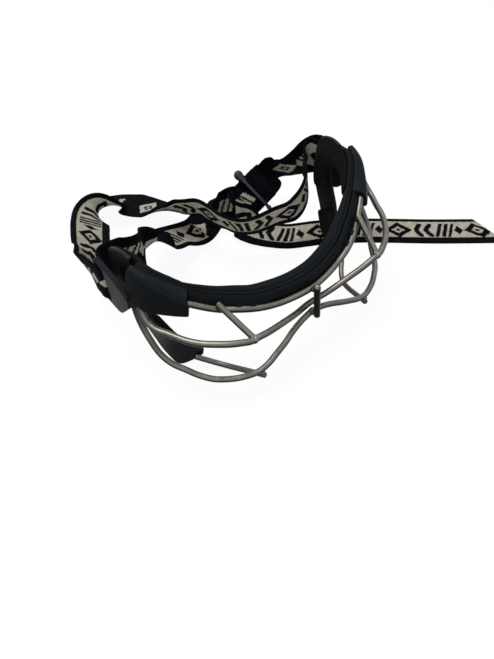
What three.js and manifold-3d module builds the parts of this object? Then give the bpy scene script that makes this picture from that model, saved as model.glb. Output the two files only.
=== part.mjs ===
// Wire-cage sports goggles with rubber brow rail, temple housings, side pads and a webbing head strap.
// Millimetres, +Z up. The wearer looks along -Y, +X is the wearer's left side.
// The goggles stand on their side frames on z = 0, with the origin under the middle of their box.
import * as THREE from 'three';
import { mergeVertices } from 'three/addons/utils/BufferGeometryUtils.js';
import Module from 'manifold-3d';

const wasm = await Module();
wasm.setup();

// Driving sizes of the goggles
const HALF_WIDTH = 84;
const DEPTH = 91;
const HEIGHT = 80;

// Clearance between pieces that touch
const GAP = 0.3;

// Cage wires
const WIRE_DIAMETER = 3.6;
const STRUT_DIAMETER = 3.4;
const POST_DIAMETER = 3.8;
const WIRE_SIDES = 10;
const NEAREST_STEPS = 200;
const POST_STAND_UP = 3.4;
const POST_HANG_DOWN = 1.5;

// Brow rail and pad, measured from the brow line inwards
const RAIL_DEPTH = 3;
const RAIL_HEIGHT = 6.8;
const RAIL_BEVEL = 1;
const PAD_DEPTH = 7;
const PAD_HEIGHT = 11;
const PAD_CROWN = 0.5;
const PAD_END_DEPTH = 3.6;
const RAIL_STEPS = 56;
const pad_end_share = 0.045;
const housing_start_share = 0.185;
const housing_end_share = 0.04;

// Temple housings, measured outwards from the brow line
const HOUSING_TOP_WIDTH = 4.2;
const HOUSING_FRONT_WIDTH = 9;
const HOUSING_FOOT_WIDTH = 10.8;
const HOUSING_FRONT_HEIGHT = 10.6;
const HOUSING_REAR_HEIGHT = 18.4;
const HOUSING_BEVEL = 1.4;
const HOUSING_STEPS = 14;
const ANCHOR_THICKNESS = 3;
const ANCHOR_LENGTH = 33;
const ANCHOR_SLOPE_LENGTH = 15;
const ANCHOR_SLOPE_HEIGHT = 19;
const ANCHOR_HEIGHT = 31;
const ANCHOR_CORNER = 3;
const ANCHOR_BAR = 4.5;
const SLOT_WIDTH = 5;
const SLOT_HEIGHT = 26;

// Side frames and the pads on them
const FRAME_THICKNESS = 2.2;
const TEMPLE_PAD_THICKNESS = 5.6;
const CHEEK_PAD_THICKNESS = 4;
const FRAME_STEPS = 34;
const temple_pad_end_share = 0.45;
const cheek_pad_start_share = 0.565;
const pad_start_share = 0.01;
const pad_end_of_frame_share = 0.99;
const pad_margin_share = 0.03;
const pad_crown_share = 0.12;
const pad_wall_share = 0.6;
const temple_slope_share = 0.36;
const temple_rim_share = 0.25;

// Liner of the temple pad along the brow pad, at its front end and at its rear end
const LINER_DEPTH = 1.4;
const LINER_REAR_DEPTH = 5.2;
const LINER_RIM = 1.2;
const LINER_CREASE = 4;
const LINER_REAR_CREASE = 8;
const LINER_HEIGHT = 9;
const LINER_REAR_HEIGHT = 14;
const LINER_STEPS = 12;
const liner_start_share = 0.168;
const liner_end_share = 0.012;

// Struts on the wires and sleeves round them
const STRUT_REACH = 3.2;
const SLEEVE_LENGTH = 3;
const SLEEVE_WALL = 1.2;
const SLEEVE_FROM = -0.15 * Math.PI;
const SLEEVE_TO = 0.6 * Math.PI;
const inner_sleeve_share = 0.73;
const outer_sleeve_share = 0.78;

// Head strap and its slider
const STRAP_WIDTH = 25;
const STRAP_THICKNESS = 1.4;
const RIBBON_STEPS = 3;
const TURN_STEPS = 6;
const SLIDER_LENGTH = 34;
const SLIDER_THICKNESS = 2.2;
const SLIDER_BAR = 3;
const SLIDER_SLOT = 3.6;
const SLIDER_SLOT_LENGTH = 26;
const SLIDER_CORNER = 4;
const FOLD_REACH = 10;
const END_REACH = 5.6;

const curve_through = (points) => new THREE.CatmullRomCurve3(points, false, 'centripetal');

// A place in the goggles' box: shares of the half width, the depth and the height.
// The depth is shared out from the front, and the origin lies half way back.
function place(share, side = 1) {
  return new THREE.Vector3(side * share[0] * HALF_WIDTH, (share[1] - 0.5) * DEPTH, share[2] * HEIGHT);
}

// Routes along one side, from the nose outwards, as shares of the box
const brow_wire_shares = [
  [0, 0.12, 0.595], [0.135, 0.135, 0.59], [0.265, 0.16, 0.595], [0.4, 0.19, 0.63],
  [0.515, 0.24, 0.66], [0.62, 0.305, 0.68], [0.75, 0.4, 0.74], [0.825, 0.47, 0.775],
];
const brow_line_shares = [
  [0, 0.18, 0.68], [0.125, 0.195, 0.67], [0.25, 0.225, 0.67], [0.375, 0.26, 0.685],
  [0.475, 0.31, 0.71], [0.58, 0.365, 0.74], [0.715, 0.455, 0.805], [0.8, 0.525, 0.87],
  [0.87, 0.605, 0.92], [0.905, 0.69, 0.94], [0.92, 0.78, 0.945],
];
const centre_wire_shares = [
  [0, 0.12, 0.43], [0.145, 0.095, 0.465], [0.3, 0.07, 0.52], [0.43, 0.055, 0.56], [0.515, 0.05, 0.59],
];
const side_wire_shares = [
  [0.58, 0.055, 0.597], [0.62, 0.07, 0.605], [0.68, 0.1, 0.61], [0.755, 0.155, 0.61],
  [0.82, 0.215, 0.605], [0.875, 0.285, 0.605], [0.92, 0.37, 0.605], [0.965, 0.45, 0.61],
  [0.98, 0.51, 0.635], [0.975, 0.56, 0.69], [0.965, 0.59, 0.75],
];
const lower_wire_shares = [
  [0, 0.09, 0.375], [0.09, 0.085, 0.355], [0.18, 0.075, 0.32], [0.27, 0.055, 0.285],
  [0.36, 0.045, 0.24], [0.44, 0.035, 0.21], [0.525, 0.04, 0.19], [0.635, 0.075, 0.19],
  [0.715, 0.12, 0.19], [0.785, 0.17, 0.2], [0.845, 0.24, 0.215], [0.89, 0.305, 0.24],
  [0.945, 0.375, 0.285], [0.975, 0.445, 0.34], [0.985, 0.52, 0.425], [0.985, 0.595, 0.53],
  [0.975, 0.64, 0.65], [0.965, 0.647, 0.76],
];

// Where the lower strut starts on the side frame, its bend, and the wire point that it meets
const lower_strut_seat_share = 0.92;
const lower_strut_middle_share = 0.45;
const lower_strut_bend_shares = [0.615, 0.315, 0.008];
const lower_strut_wire_shares = [0.5, 0.038, 0.195];

// The side frame is a band bent round a C, given by its outer and its inner edge
const frame_outer_shares = [
  [0.895, 0.735, 0.93], [0.905, 0.8, 0.935], [0.915, 0.86, 0.92], [0.925, 0.92, 0.88],
  [0.93, 0.95, 0.67], [0.925, 0.925, 0.47], [0.9, 0.83, 0.3], [0.875, 0.725, 0.13],
  [0.86, 0.61, 0.02], [0.835, 0.49, 0], [0.755, 0.445, 0.025], [0.675, 0.42, 0.06],
];
const frame_inner_shares = [
  [0.89, 0.725, 0.73], [0.895, 0.735, 0.735], [0.905, 0.755, 0.72], [0.915, 0.785, 0.68],
  [0.92, 0.79, 0.605], [0.91, 0.74, 0.5], [0.89, 0.67, 0.38], [0.85, 0.61, 0.28],
  [0.8, 0.56, 0.195], [0.745, 0.505, 0.145], [0.7, 0.455, 0.12], [0.665, 0.42, 0.11],
];

// Where a strut meets the wires: shares of the box, taken along one side
const strut_top_shares = [0.608, 0.3, 0.68];
const strut_foot_shares = [0.545, 0.05, 0.592];

// The rear end of each strap anchor plate's foot
const anchor_place_shares = [0.985, 0.622, 0.625];

// Joins rings of points into one closed body: walls between the rings and a cap at each end
function loft(rings, outline) {
  const count = rings[0].length;
  const positions = [];
  for (const ring of rings) {
    for (const point of ring) {
      positions.push(point.x, point.y, point.z);
    }
  }
  const index = [];
  for (let r = 0; r + 1 < rings.length; r += 1) {
    for (let k = 0; k < count; k += 1) {
      const next = (k + 1) % count;
      const a = r * count + k;
      const b = r * count + next;
      index.push(a, b, b + count, a, b + count, a + count);
    }
  }
  const last = (rings.length - 1) * count;
  for (const [i, j, k] of THREE.ShapeUtils.triangulateShape(outline, [])) {
    index.push(k, j, i);
    index.push(last + i, last + j, last + k);
  }
  const geometry = new THREE.BufferGeometry();
  geometry.setAttribute('position', new THREE.Float32BufferAttribute(positions, 3));
  geometry.setIndex(index);
  return facing_out(geometry);
}

// Six times the enclosed volume is negative when the faces point in: then each face is turned
function facing_out(geometry) {
  const p = geometry.attributes.position;
  const index = geometry.index.array;
  const a = new THREE.Vector3();
  const b = new THREE.Vector3();
  const c = new THREE.Vector3();
  let volume = 0;
  for (let k = 0; k < index.length; k += 3) {
    a.fromBufferAttribute(p, index[k]);
    b.fromBufferAttribute(p, index[k + 1]);
    c.fromBufferAttribute(p, index[k + 2]);
    volume += a.dot(b.cross(c));
  }
  if (volume < 0) {
    const turned = Array.from(index);
    for (let k = 0; k < turned.length; k += 3) {
      [turned[k + 1], turned[k + 2]] = [turned[k + 2], turned[k + 1]];
    }
    geometry.setIndex(turned);
  }
  return geometry;
}

function welded(geometry) {
  const bare = geometry.clone();
  bare.deleteAttribute('normal');
  bare.deleteAttribute('uv');
  return mergeVertices(bare, GAP / 1000);
}

function solid_of(geometry) {
  const bare = facing_out(welded(geometry));
  return new wasm.Manifold(new wasm.Mesh({
    numProp: 3,
    vertProperties: new Float32Array(bare.attributes.position.array),
    triVerts: new Uint32Array(bare.index.array),
  }));
}

function geometry_of(solid) {
  const mesh = solid.getMesh();
  const geometry = new THREE.BufferGeometry();
  geometry.setAttribute('position', new THREE.Float32BufferAttribute(mesh.vertProperties, 3));
  geometry.setIndex(Array.from(mesh.triVerts));
  return geometry;
}

// A round wire along a curve
function wire(curve, diameter, steps) {
  const section = new THREE.Shape();
  section.absarc(0, 0, diameter / 2, 0, 2 * Math.PI);
  const options = { steps, extrudePath: curve, curveSegments: WIRE_SIDES / 2, bevelEnabled: false };
  return welded(new THREE.ExtrudeGeometry(section, options));
}

// A straight rod from one point to another
function rod(start, end, diameter) {
  return wire(new THREE.LineCurve3(start, end), diameter, 1);
}

// A section swept along a curve without rolling: its x runs inwards and its y runs up.
// section_at gives the section at a share of the swept stretch.
function rail(curve, section_at, steps, from = 0, to = 1) {
  const up = new THREE.Vector3(0, 0, 1);
  const rings = [];
  for (let k = 0; k <= steps; k += 1) {
    const u = from + ((to - from) * k) / steps;
    const at = curve.getPointAt(u);
    const inward = new THREE.Vector3().crossVectors(up, curve.getTangentAt(u)).normalize();
    const section = section_at(k / steps);
    rings.push(section.map((p) => at.clone().addScaledVector(inward, p.x).addScaledVector(up, p.y)));
  }
  return loft(rings, section_at(0));
}

// At a share u along a band between two edges: its outer edge, the way across it and the way off its face
function band_frame(outer, inner, side, u) {
  const small = 1 / (8 * FRAME_STEPS);
  const edge = outer.getPoint(u);
  const across = inner.getPoint(u).sub(edge);
  const ahead = Math.min(u + small, 1);
  const behind = Math.max(u - small, 0);
  const along = outer.getPoint(ahead).add(inner.getPoint(ahead));
  along.sub(outer.getPoint(behind)).sub(inner.getPoint(behind)).normalize();
  const off = new THREE.Vector3().crossVectors(across, along).multiplyScalar(-side).normalize();
  return { edge, across, off };
}

// A band between two edges: each profile point is a share across it and a height off its face
function band(outer, inner, profile, steps, side, from = 0, to = 1) {
  const rings = [];
  for (let k = 0; k <= steps; k += 1) {
    const { edge, across, off } = band_frame(outer, inner, side, from + ((to - from) * k) / steps);
    rings.push(profile.map((p) => edge.clone().addScaledVector(across, p.x).addScaledVector(off, p.y)));
  }
  return loft(rings, profile);
}

// The solid above the table: everything below z = 0 is cut off flat
function above_table(solid) {
  const block = new THREE.BoxGeometry(4 * HALF_WIDTH, 4 * DEPTH, HEIGHT);
  block.translate(0, 0, -HEIGHT / 2);
  return solid.subtract(solid_of(block));
}

// Length share of the place on a curve that lies nearest to a point
function nearest_share(curve, point) {
  let best = 0;
  let least = Infinity;
  for (let k = 0; k <= NEAREST_STEPS; k += 1) {
    const distance = curve.getPointAt(k / NEAREST_STEPS).distanceTo(point);
    if (distance < least) {
      least = distance;
      best = k / NEAREST_STEPS;
    }
  }
  return best;
}

function mirrored_through(shares) {
  const left = shares.slice(1).map((share) => place(share, 1));
  const right = shares.slice(1).map((share) => place(share, -1)).reverse();
  return [...right, place(shares[0]), ...left];
}

const finishes = {
  rubber: { color: 0x23282c, roughness: 0.62, metalness: 0 },
  plastic: { color: 0x1f2427, roughness: 0.5, metalness: 0 },
  foam: { color: 0x1b1816, roughness: 0.95, metalness: 0 },
  wire: { color: 0x7a7468, roughness: 0.38, metalness: 0.85 },
  webbing: { color: 0x14151d, roughness: 0.9, metalness: 0 },
  slider: { color: 0x22252a, roughness: 0.45, metalness: 0 },
};

const goggles = new THREE.Group();

function add(name, geometry, finish, parent = goggles) {
  const mesh = new THREE.Mesh(geometry, new THREE.MeshStandardMaterial(finishes[finish]));
  mesh.name = name;
  parent.add(mesh);
  return mesh;
}

// Brow wire, centre wire and nose post
const brow_wire_curve = curve_through(mirrored_through(brow_wire_shares));
add('brow_wire', wire(brow_wire_curve, WIRE_DIAMETER, RAIL_STEPS), 'wire');
const centre_wire_curve = curve_through(mirrored_through(centre_wire_shares));
add('centre_wire', wire(centre_wire_curve, WIRE_DIAMETER, RAIL_STEPS / 2), 'wire');

function nose_post() {
  const reach = (WIRE_DIAMETER + POST_DIAMETER) / 2 + GAP;
  const brow = place(brow_wire_shares[0]);
  const low = place(lower_wire_shares[0]);
  const down = new THREE.Vector3().subVectors(low, brow).normalize();
  const forward = new THREE.Vector3(0, down.z, -down.y);
  const top = brow.clone().addScaledVector(forward, reach).addScaledVector(down, -POST_STAND_UP);
  const foot = low.clone().addScaledVector(forward, reach).addScaledVector(down, POST_HANG_DOWN);
  return rod(top, foot, POST_DIAMETER);
}
add('nose_post', nose_post(), 'wire');

// Brow frame and brow pad
const brow_line = curve_through(mirrored_through(brow_line_shares));
const frame_end_share = housing_start_share + GAP / brow_line.getLength();
function rail_section() {
  return [
    new THREE.Vector2(-RAIL_DEPTH, -RAIL_HEIGHT),
    new THREE.Vector2(0, -RAIL_HEIGHT),
    new THREE.Vector2(0, 0),
    new THREE.Vector2(-RAIL_BEVEL, 0),
    new THREE.Vector2(-RAIL_DEPTH, -RAIL_BEVEL),
  ];
}
function pad_section(t) {
  const near = GAP;
  const thin = Math.min(1, 2.6 * Math.abs(2 * t - 1) ** 3);
  const far = GAP + THREE.MathUtils.lerp(PAD_DEPTH, PAD_END_DEPTH, thin);
  return [
    new THREE.Vector2(near, -PAD_HEIGHT),
    new THREE.Vector2(far - RAIL_BEVEL, -PAD_HEIGHT),
    new THREE.Vector2(far, -PAD_HEIGHT + RAIL_BEVEL),
    new THREE.Vector2(far, 0),
    new THREE.Vector2(far - RAIL_BEVEL, PAD_CROWN),
    new THREE.Vector2(near + RAIL_BEVEL, PAD_CROWN),
    new THREE.Vector2(near, 0),
  ];
}
const brow_frame = rail(brow_line, rail_section, RAIL_STEPS, frame_end_share, 1 - frame_end_share);
add('brow_frame', brow_frame, 'rubber');
add('brow_pad', rail(brow_line, pad_section, RAIL_STEPS, pad_end_share, 1 - pad_end_share), 'rubber');

// The housing widens and deepens from its front end to its rear end
function housing_section(t) {
  const height = THREE.MathUtils.lerp(HOUSING_FRONT_HEIGHT, HOUSING_REAR_HEIGHT, Math.min(1, 1.6 * t));
  const top = THREE.MathUtils.lerp(HOUSING_FRONT_WIDTH, HOUSING_TOP_WIDTH, t);
  return [
    new THREE.Vector2(0, -height),
    new THREE.Vector2(0, 0),
    new THREE.Vector2(-top + HOUSING_BEVEL, 0),
    new THREE.Vector2(-top, -HOUSING_BEVEL),
    new THREE.Vector2(-HOUSING_FOOT_WIDTH, -height + HOUSING_BEVEL),
    new THREE.Vector2(-HOUSING_FOOT_WIDTH + HOUSING_BEVEL, -height),
  ];
}

// The liner's upper face slopes inwards from the brow pad's edge to a crease
function liner_section(t) {
  const near = PAD_END_DEPTH + 2 * GAP;
  const far = near + THREE.MathUtils.lerp(LINER_DEPTH, LINER_REAR_DEPTH, t);
  const crease = THREE.MathUtils.lerp(LINER_CREASE, LINER_REAR_CREASE, t);
  const height = THREE.MathUtils.lerp(LINER_HEIGHT, LINER_REAR_HEIGHT, t);
  return [
    new THREE.Vector2(near, -height),
    new THREE.Vector2(far - RAIL_BEVEL, -height),
    new THREE.Vector2(far, RAIL_BEVEL - height),
    new THREE.Vector2(far, -crease),
    new THREE.Vector2(near + PAD_CROWN, -LINER_RIM / 2),
    new THREE.Vector2(near, -LINER_RIM),
  ];
}

// A plate with the strap slot through it, standing along the head at the rear of a housing
function anchor_plate(rear, side) {
  const shape = new THREE.Shape();
  const half = ANCHOR_HEIGHT / 2;
  shape.moveTo(0, ANCHOR_SLOPE_HEIGHT - half);
  shape.lineTo(ANCHOR_SLOPE_LENGTH, -half);
  shape.lineTo(ANCHOR_LENGTH - ANCHOR_CORNER, -half);
  shape.absarc(ANCHOR_LENGTH - ANCHOR_CORNER, ANCHOR_CORNER - half, ANCHOR_CORNER, -Math.PI / 2, 0);
  shape.absarc(ANCHOR_LENGTH - ANCHOR_CORNER, half - ANCHOR_CORNER, ANCHOR_CORNER, 0, Math.PI / 2);
  shape.lineTo(0, half);
  shape.closePath();
  const slot = new THREE.Path();
  const slot_end = ANCHOR_LENGTH - ANCHOR_BAR;
  slot.moveTo(slot_end - SLOT_WIDTH, -SLOT_HEIGHT / 2);
  slot.lineTo(slot_end - SLOT_WIDTH, SLOT_HEIGHT / 2);
  slot.lineTo(slot_end, SLOT_HEIGHT / 2);
  slot.lineTo(slot_end, -SLOT_HEIGHT / 2);
  slot.closePath();
  shape.holes.push(slot);
  const options = { depth: ANCHOR_THICKNESS, bevelEnabled: false, curveSegments: 4 };
  const geometry = new THREE.ExtrudeGeometry(shape, options);
  // The shape's x runs back along +Y and its y runs up: its depth runs outwards
  geometry.applyMatrix4(new THREE.Matrix4().makeBasis(
    new THREE.Vector3(0, 1, 0),
    new THREE.Vector3(0, 0, 1),
    new THREE.Vector3(1, 0, 0),
  ));
  geometry.translate(rear.x, rear.y, rear.z);
  if (side < 0) {
    geometry.scale(-1, 1, 1);
  }
  return geometry;
}

// A short open sleeve that holds a wire from above and behind
function sleeve(middle, along) {
  const bore = WIRE_DIAMETER / 2 + GAP;
  const shape = new THREE.Shape();
  shape.absarc(0, 0, bore + SLEEVE_WALL, SLEEVE_FROM, SLEEVE_TO);
  shape.absarc(0, 0, bore, SLEEVE_TO, SLEEVE_FROM, true);
  shape.closePath();
  const options = { depth: SLEEVE_LENGTH, bevelEnabled: false, curveSegments: WIRE_SIDES };
  const geometry = new THREE.ExtrudeGeometry(shape, options);
  geometry.translate(0, 0, -SLEEVE_LENGTH / 2);
  const inward = new THREE.Vector3().crossVectors(new THREE.Vector3(0, 0, 1), along).normalize();
  const above = new THREE.Vector3().crossVectors(along, inward);
  geometry.applyMatrix4(new THREE.Matrix4().makeBasis(inward, above, along));
  geometry.translate(middle.x, middle.y, middle.z);
  return welded(geometry);
}

for (const [name, side] of [['left', 1], ['right', -1]]) {
  const route = (shares) => curve_through(shares.map((share) => place(share, side)));

  // Side wire and lower wire
  const side_route = route(side_wire_shares);
  add(`${name}_side_wire`, wire(side_route, WIRE_DIAMETER, RAIL_STEPS / 2), 'wire');
  const half = lower_wire_shares.map((share) => place(share, side));
  half[0].x = side * WIRE_DIAMETER / 4;
  const lower_route = curve_through(half);
  add(`${name}_lower_wire`, wire(lower_route, WIRE_DIAMETER, RAIL_STEPS * 0.75), 'wire');

  // Upper strut, welded on the brow wire and between the centre wire and the side wire
  const reach = (WIRE_DIAMETER + STRUT_DIAMETER) / 2 + GAP;
  const foot = place(strut_foot_shares, side);
  const on_brow = place(strut_top_shares, side);
  const along_wire = brow_wire_curve.getTangentAt(nearest_share(brow_wire_curve, on_brow));
  const slope = new THREE.Vector3().subVectors(on_brow, foot).normalize();
  const off_brow = new THREE.Vector3().crossVectors(along_wire, slope).normalize();
  off_brow.multiplyScalar(Math.sign(off_brow.z) * reach);
  const top = on_brow.clone().add(off_brow).addScaledVector(slope, STRUT_REACH / 2);
  const toe = foot.clone().addScaledVector(slope, -STRUT_REACH / 2);
  add(`${name}_upper_strut`, rod(top, toe, STRUT_DIAMETER), 'wire');

  // Two sleeves hold the brow wire below the brow frame, cut back where the frame would reach into them
  for (const [sleeve_name, share] of [['inner', inner_sleeve_share], ['outer', outer_sleeve_share]]) {
    const at = side > 0 ? share : 1 - share;
    const round_wire = sleeve(brow_wire_curve.getPointAt(at), brow_wire_curve.getTangentAt(at));
    const clear = solid_of(round_wire).subtract(solid_of(brow_frame));
    add(`${name}_${sleeve_name}_sleeve`, geometry_of(clear), 'rubber');
  }

  // Side frame, temple pad and cheek pad
  const outer = route(frame_outer_shares);
  const inner = route(frame_inner_shares);
  const plate = [
    new THREE.Vector2(0, 0),
    new THREE.Vector2(1, 0),
    new THREE.Vector2(1, FRAME_THICKNESS),
    new THREE.Vector2(0, FRAME_THICKNESS),
  ];
  const side_frame = above_table(solid_of(band(outer, inner, plate, FRAME_STEPS, side)));
  add(`${name}_side_frame`, geometry_of(side_frame), 'plastic');

  // Lower strut: off the outer face of the side frame, bent near the table, then on under the lower wire
  const seat = band_frame(outer, inner, side, lower_strut_seat_share);
  const start = seat.edge.clone().addScaledVector(seat.across, lower_strut_middle_share);
  start.addScaledVector(seat.off, -(STRUT_DIAMETER / 2 + GAP));
  const bend = place(lower_strut_bend_shares, side);
  const wire_share = nearest_share(lower_route, place(lower_strut_wire_shares, side));
  const on_wire = lower_route.getPointAt(wire_share);
  const run = new THREE.Vector3().subVectors(on_wire, bend).normalize();
  const under = new THREE.Vector3().crossVectors(lower_route.getTangentAt(wire_share), run).normalize();
  under.multiplyScalar(-Math.sign(under.z) * reach);
  const tip = on_wire.clone().add(under).addScaledVector(run, STRUT_REACH / 2);
  const bent = [start, bend.clone().lerp(start, 0.3), bend.clone().lerp(tip, 0.12), tip];
  add(`${name}_lower_strut`, wire(curve_through(bent), STRUT_DIAMETER, FRAME_STEPS / 2), 'wire');

  // The pads' face is crowned: rim and crown say how high the outer edge is and where its slope ends
  const pad_band = (thickness, rim, crown, from, to) => {
    const foot = FRAME_THICKNESS + 1.5 * GAP;
    const section = [
      new THREE.Vector2(pad_margin_share, foot),
      new THREE.Vector2(1 - pad_margin_share, foot),
      new THREE.Vector2(1 - pad_margin_share, foot + thickness * pad_wall_share),
      new THREE.Vector2(1 - pad_crown_share, foot + thickness),
      new THREE.Vector2(crown, foot + thickness),
      new THREE.Vector2(pad_margin_share, foot + thickness * rim),
    ];
    return band(outer, inner, section, FRAME_STEPS / 2, side, from, to);
  };

  // The temple pad slopes inwards from its top edge, and runs on forwards as a liner inside the brow pad
  const temple_ends = [pad_start_share, temple_pad_end_share];
  const temple_band = pad_band(TEMPLE_PAD_THICKNESS, temple_rim_share, temple_slope_share, ...temple_ends);
  const liner_ends = [liner_start_share, liner_end_share].map((share) => (side > 0 ? 1 - share : share));
  const liner = rail(brow_line, liner_section, LINER_STEPS, ...liner_ends);
  add(`${name}_temple_pad`, geometry_of(solid_of(temple_band).add(solid_of(liner))), 'foam');
  const cheek_ends = [cheek_pad_start_share, pad_end_of_frame_share];
  const cheek_pad = pad_band(CHEEK_PAD_THICKNESS, pad_wall_share, pad_crown_share, ...cheek_ends);
  add(`${name}_cheek_pad`, geometry_of(above_table(solid_of(cheek_pad))), 'foam');

  // Temple housing with its strap anchor, bored for the wire ends
  const rear = side > 0 ? [1 - housing_start_share, 1 - housing_end_share] : [housing_start_share, housing_end_share];
  const shell = rail(brow_line, housing_section, HOUSING_STEPS, rear[0], rear[1]);
  let housing = solid_of(shell).add(solid_of(anchor_plate(place(anchor_place_shares), side)));
  for (const bored of [brow_wire_curve, side_route, lower_route]) {
    housing = housing.subtract(solid_of(wire(bored, WIRE_DIAMETER + 2 * GAP, RAIL_STEPS)));
  }
  add(`${name}_temple_housing`, geometry_of(housing), 'rubber');
}

// A flat strip of webbing. Each row of its route is a place of its middle and the way that its width points.
function webbing(route) {
  const middle = curve_through(route.map((row) => new THREE.Vector3(row[0], row[1], row[2])));
  const width_way = curve_through(route.map((row) => new THREE.Vector3(row[3], row[4], row[5])));
  const steps = RIBBON_STEPS * (route.length - 1);
  const outline = [
    new THREE.Vector2(-STRAP_WIDTH / 2, -STRAP_THICKNESS / 2),
    new THREE.Vector2(STRAP_WIDTH / 2, -STRAP_THICKNESS / 2),
    new THREE.Vector2(STRAP_WIDTH / 2, STRAP_THICKNESS / 2),
    new THREE.Vector2(-STRAP_WIDTH / 2, STRAP_THICKNESS / 2),
  ];
  const rings = [];
  for (let k = 0; k <= steps; k += 1) {
    const at = middle.getPoint(k / steps);
    const along = middle.getTangent(k / steps);
    const across = width_way.getPoint(k / steps);
    across.addScaledVector(along, -across.dot(along)).normalize();
    const off = new THREE.Vector3().crossVectors(along, across);
    rings.push(outline.map((p) => at.clone().addScaledVector(across, p.x).addScaledVector(off, p.y)));
  }
  return loft(rings, outline);
}

// Rows of a route that runs straight on, or round a bar on a half circle
const row_of = (at, way) => [at.x, at.y, at.z, way.x, way.y, way.z];
function half_turn(centre, out, on, radius, way) {
  const rows = [];
  for (let k = 0; k <= TURN_STEPS; k += 1) {
    const angle = (Math.PI * k) / TURN_STEPS;
    const at = centre.clone().addScaledVector(out, radius * Math.cos(angle));
    rows.push(row_of(at.addScaledVector(on, radius * Math.sin(angle)), way));
  }
  return rows;
}

// The webbing passes forwards outside an anchor bar, round the bar and back inside it
const upright = new THREE.Vector3(0, 0, 1);
function round_anchor(side) {
  const corner = place(anchor_place_shares, side);
  const turn_radius = ANCHOR_THICKNESS / 2 + GAP + STRAP_THICKNESS / 2;
  const centre = corner.clone();
  centre.x += (side * ANCHOR_THICKNESS) / 2;
  centre.y += ANCHOR_LENGTH - ANCHOR_BAR;
  const out = new THREE.Vector3(side, 0, 0);
  const rows = half_turn(centre, out, new THREE.Vector3(0, -1, 0), turn_radius, upright);
  const outside = centre.clone().addScaledVector(out, turn_radius);
  const inside = centre.clone().addScaledVector(out, -turn_radius);
  const beside_bar = new THREE.Vector3(0, ANCHOR_BAR / 2, 0);
  return [row_of(outside.add(beside_bar), upright), ...rows, row_of(inside.add(beside_bar), upright)];
}
// The next strip starts one gap behind the end of the last one, and runs straight past the bar
function behind_anchor(side, way) {
  const corner = place(anchor_place_shares, side);
  const off = ANCHOR_THICKNESS / 2 + way * (ANCHOR_THICKNESS / 2 + GAP + STRAP_THICKNESS / 2);
  const rear = corner.y + ANCHOR_LENGTH - ANCHOR_BAR / 2 + GAP;
  const at = new THREE.Vector3(corner.x + side * off, rear, corner.z);
  const past = at.clone().add(new THREE.Vector3(0, ANCHOR_BAR, 0));
  return [row_of(at, upright), row_of(past, upright)];
}

// The slider stands across the webbing: its bars point along slider_bars, and it faces along slider_way
const slider_centre = new THREE.Vector3(50.3, 72.9, 20);
const slider_bars = new THREE.Vector3(-0.26, 0.79, 0.55).normalize();
const slider_way = new THREE.Vector3(0.83, -0.11, 0.55);
slider_way.addScaledVector(slider_bars, -slider_way.dot(slider_bars)).normalize();
const slider_down = new THREE.Vector3().crossVectors(slider_way, slider_bars);
slider_down.multiplyScalar(-Math.sign(slider_down.z));
function at_slider(way, down) {
  return slider_centre.clone().addScaledVector(slider_way, way).addScaledVector(slider_down, down);
}
const slot_offset = (SLIDER_BAR + SLIDER_SLOT) / 2;
const bar_offset = slot_offset + (SLIDER_SLOT + SLIDER_BAR) / 2;

// Hand-laid middle of each strip in millimetres, with the way of its width
const front_band_route = [
  ...round_anchor(1),
  [81.2, 46.5, 50, 0, 0, 1], [79.2, 50.3, 49.7, 0, 0, 1], [75, 50.3, 48.5, -0.12, -0.1, 1],
  [70.5, 43.7, 45.5, -0.3, -0.17, 0.94], [66.5, 38, 42.5, -0.36, -0.19, 0.92],
  [58, 31.8, 37, -0.44, -0.12, 0.88], [48, 30, 33, -0.47, -0.05, 0.88],
  [36.5, 34, 31, -0.49, -0.13, 0.86],
  [21, 38.5, 29, -0.35, -0.24, 0.9], [11, 44, 30, -0.25, -0.39, 0.88], [6.5, 53.5, 30.5, -0.26, -0.48, 0.83],
  [4, 63.5, 31, -0.18, -0.49, 0.86], [1.5, 73, 31, -0.2, -0.48, 0.86], [-3.5, 82, 28, -0.19, -0.43, 0.88],
  [-8, 91, 23, -0.25, -0.6, 0.75], [-13, 110, 14, -0.46, -0.83, 0.35], [-17, 127.5, 8, -0.51, -0.85, 0.16],
  [-20.5, 138.5, 5.5, -0.44, -0.88, 0.16], [-28.5, 141, 8, -0.33, -0.87, 0.35],
  [-39, 134, 15, -0.3, -0.75, 0.55], [-54, 118, 26, -0.65, -0.4, 0.65],
  [-64, 98.5, 35.5, -0.74, -0.28, 0.61], [-72, 81, 42, -0.74, -0.2, 0.64],
  [-79.5, 66, 46, -0.68, -0.24, 0.7], [-86.3, 55.5, 48.5, -0.35, -0.12, 0.93],
  [-87, 49, 50, -0.04, 0, 1],
  ...round_anchor(-1),
];
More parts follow.
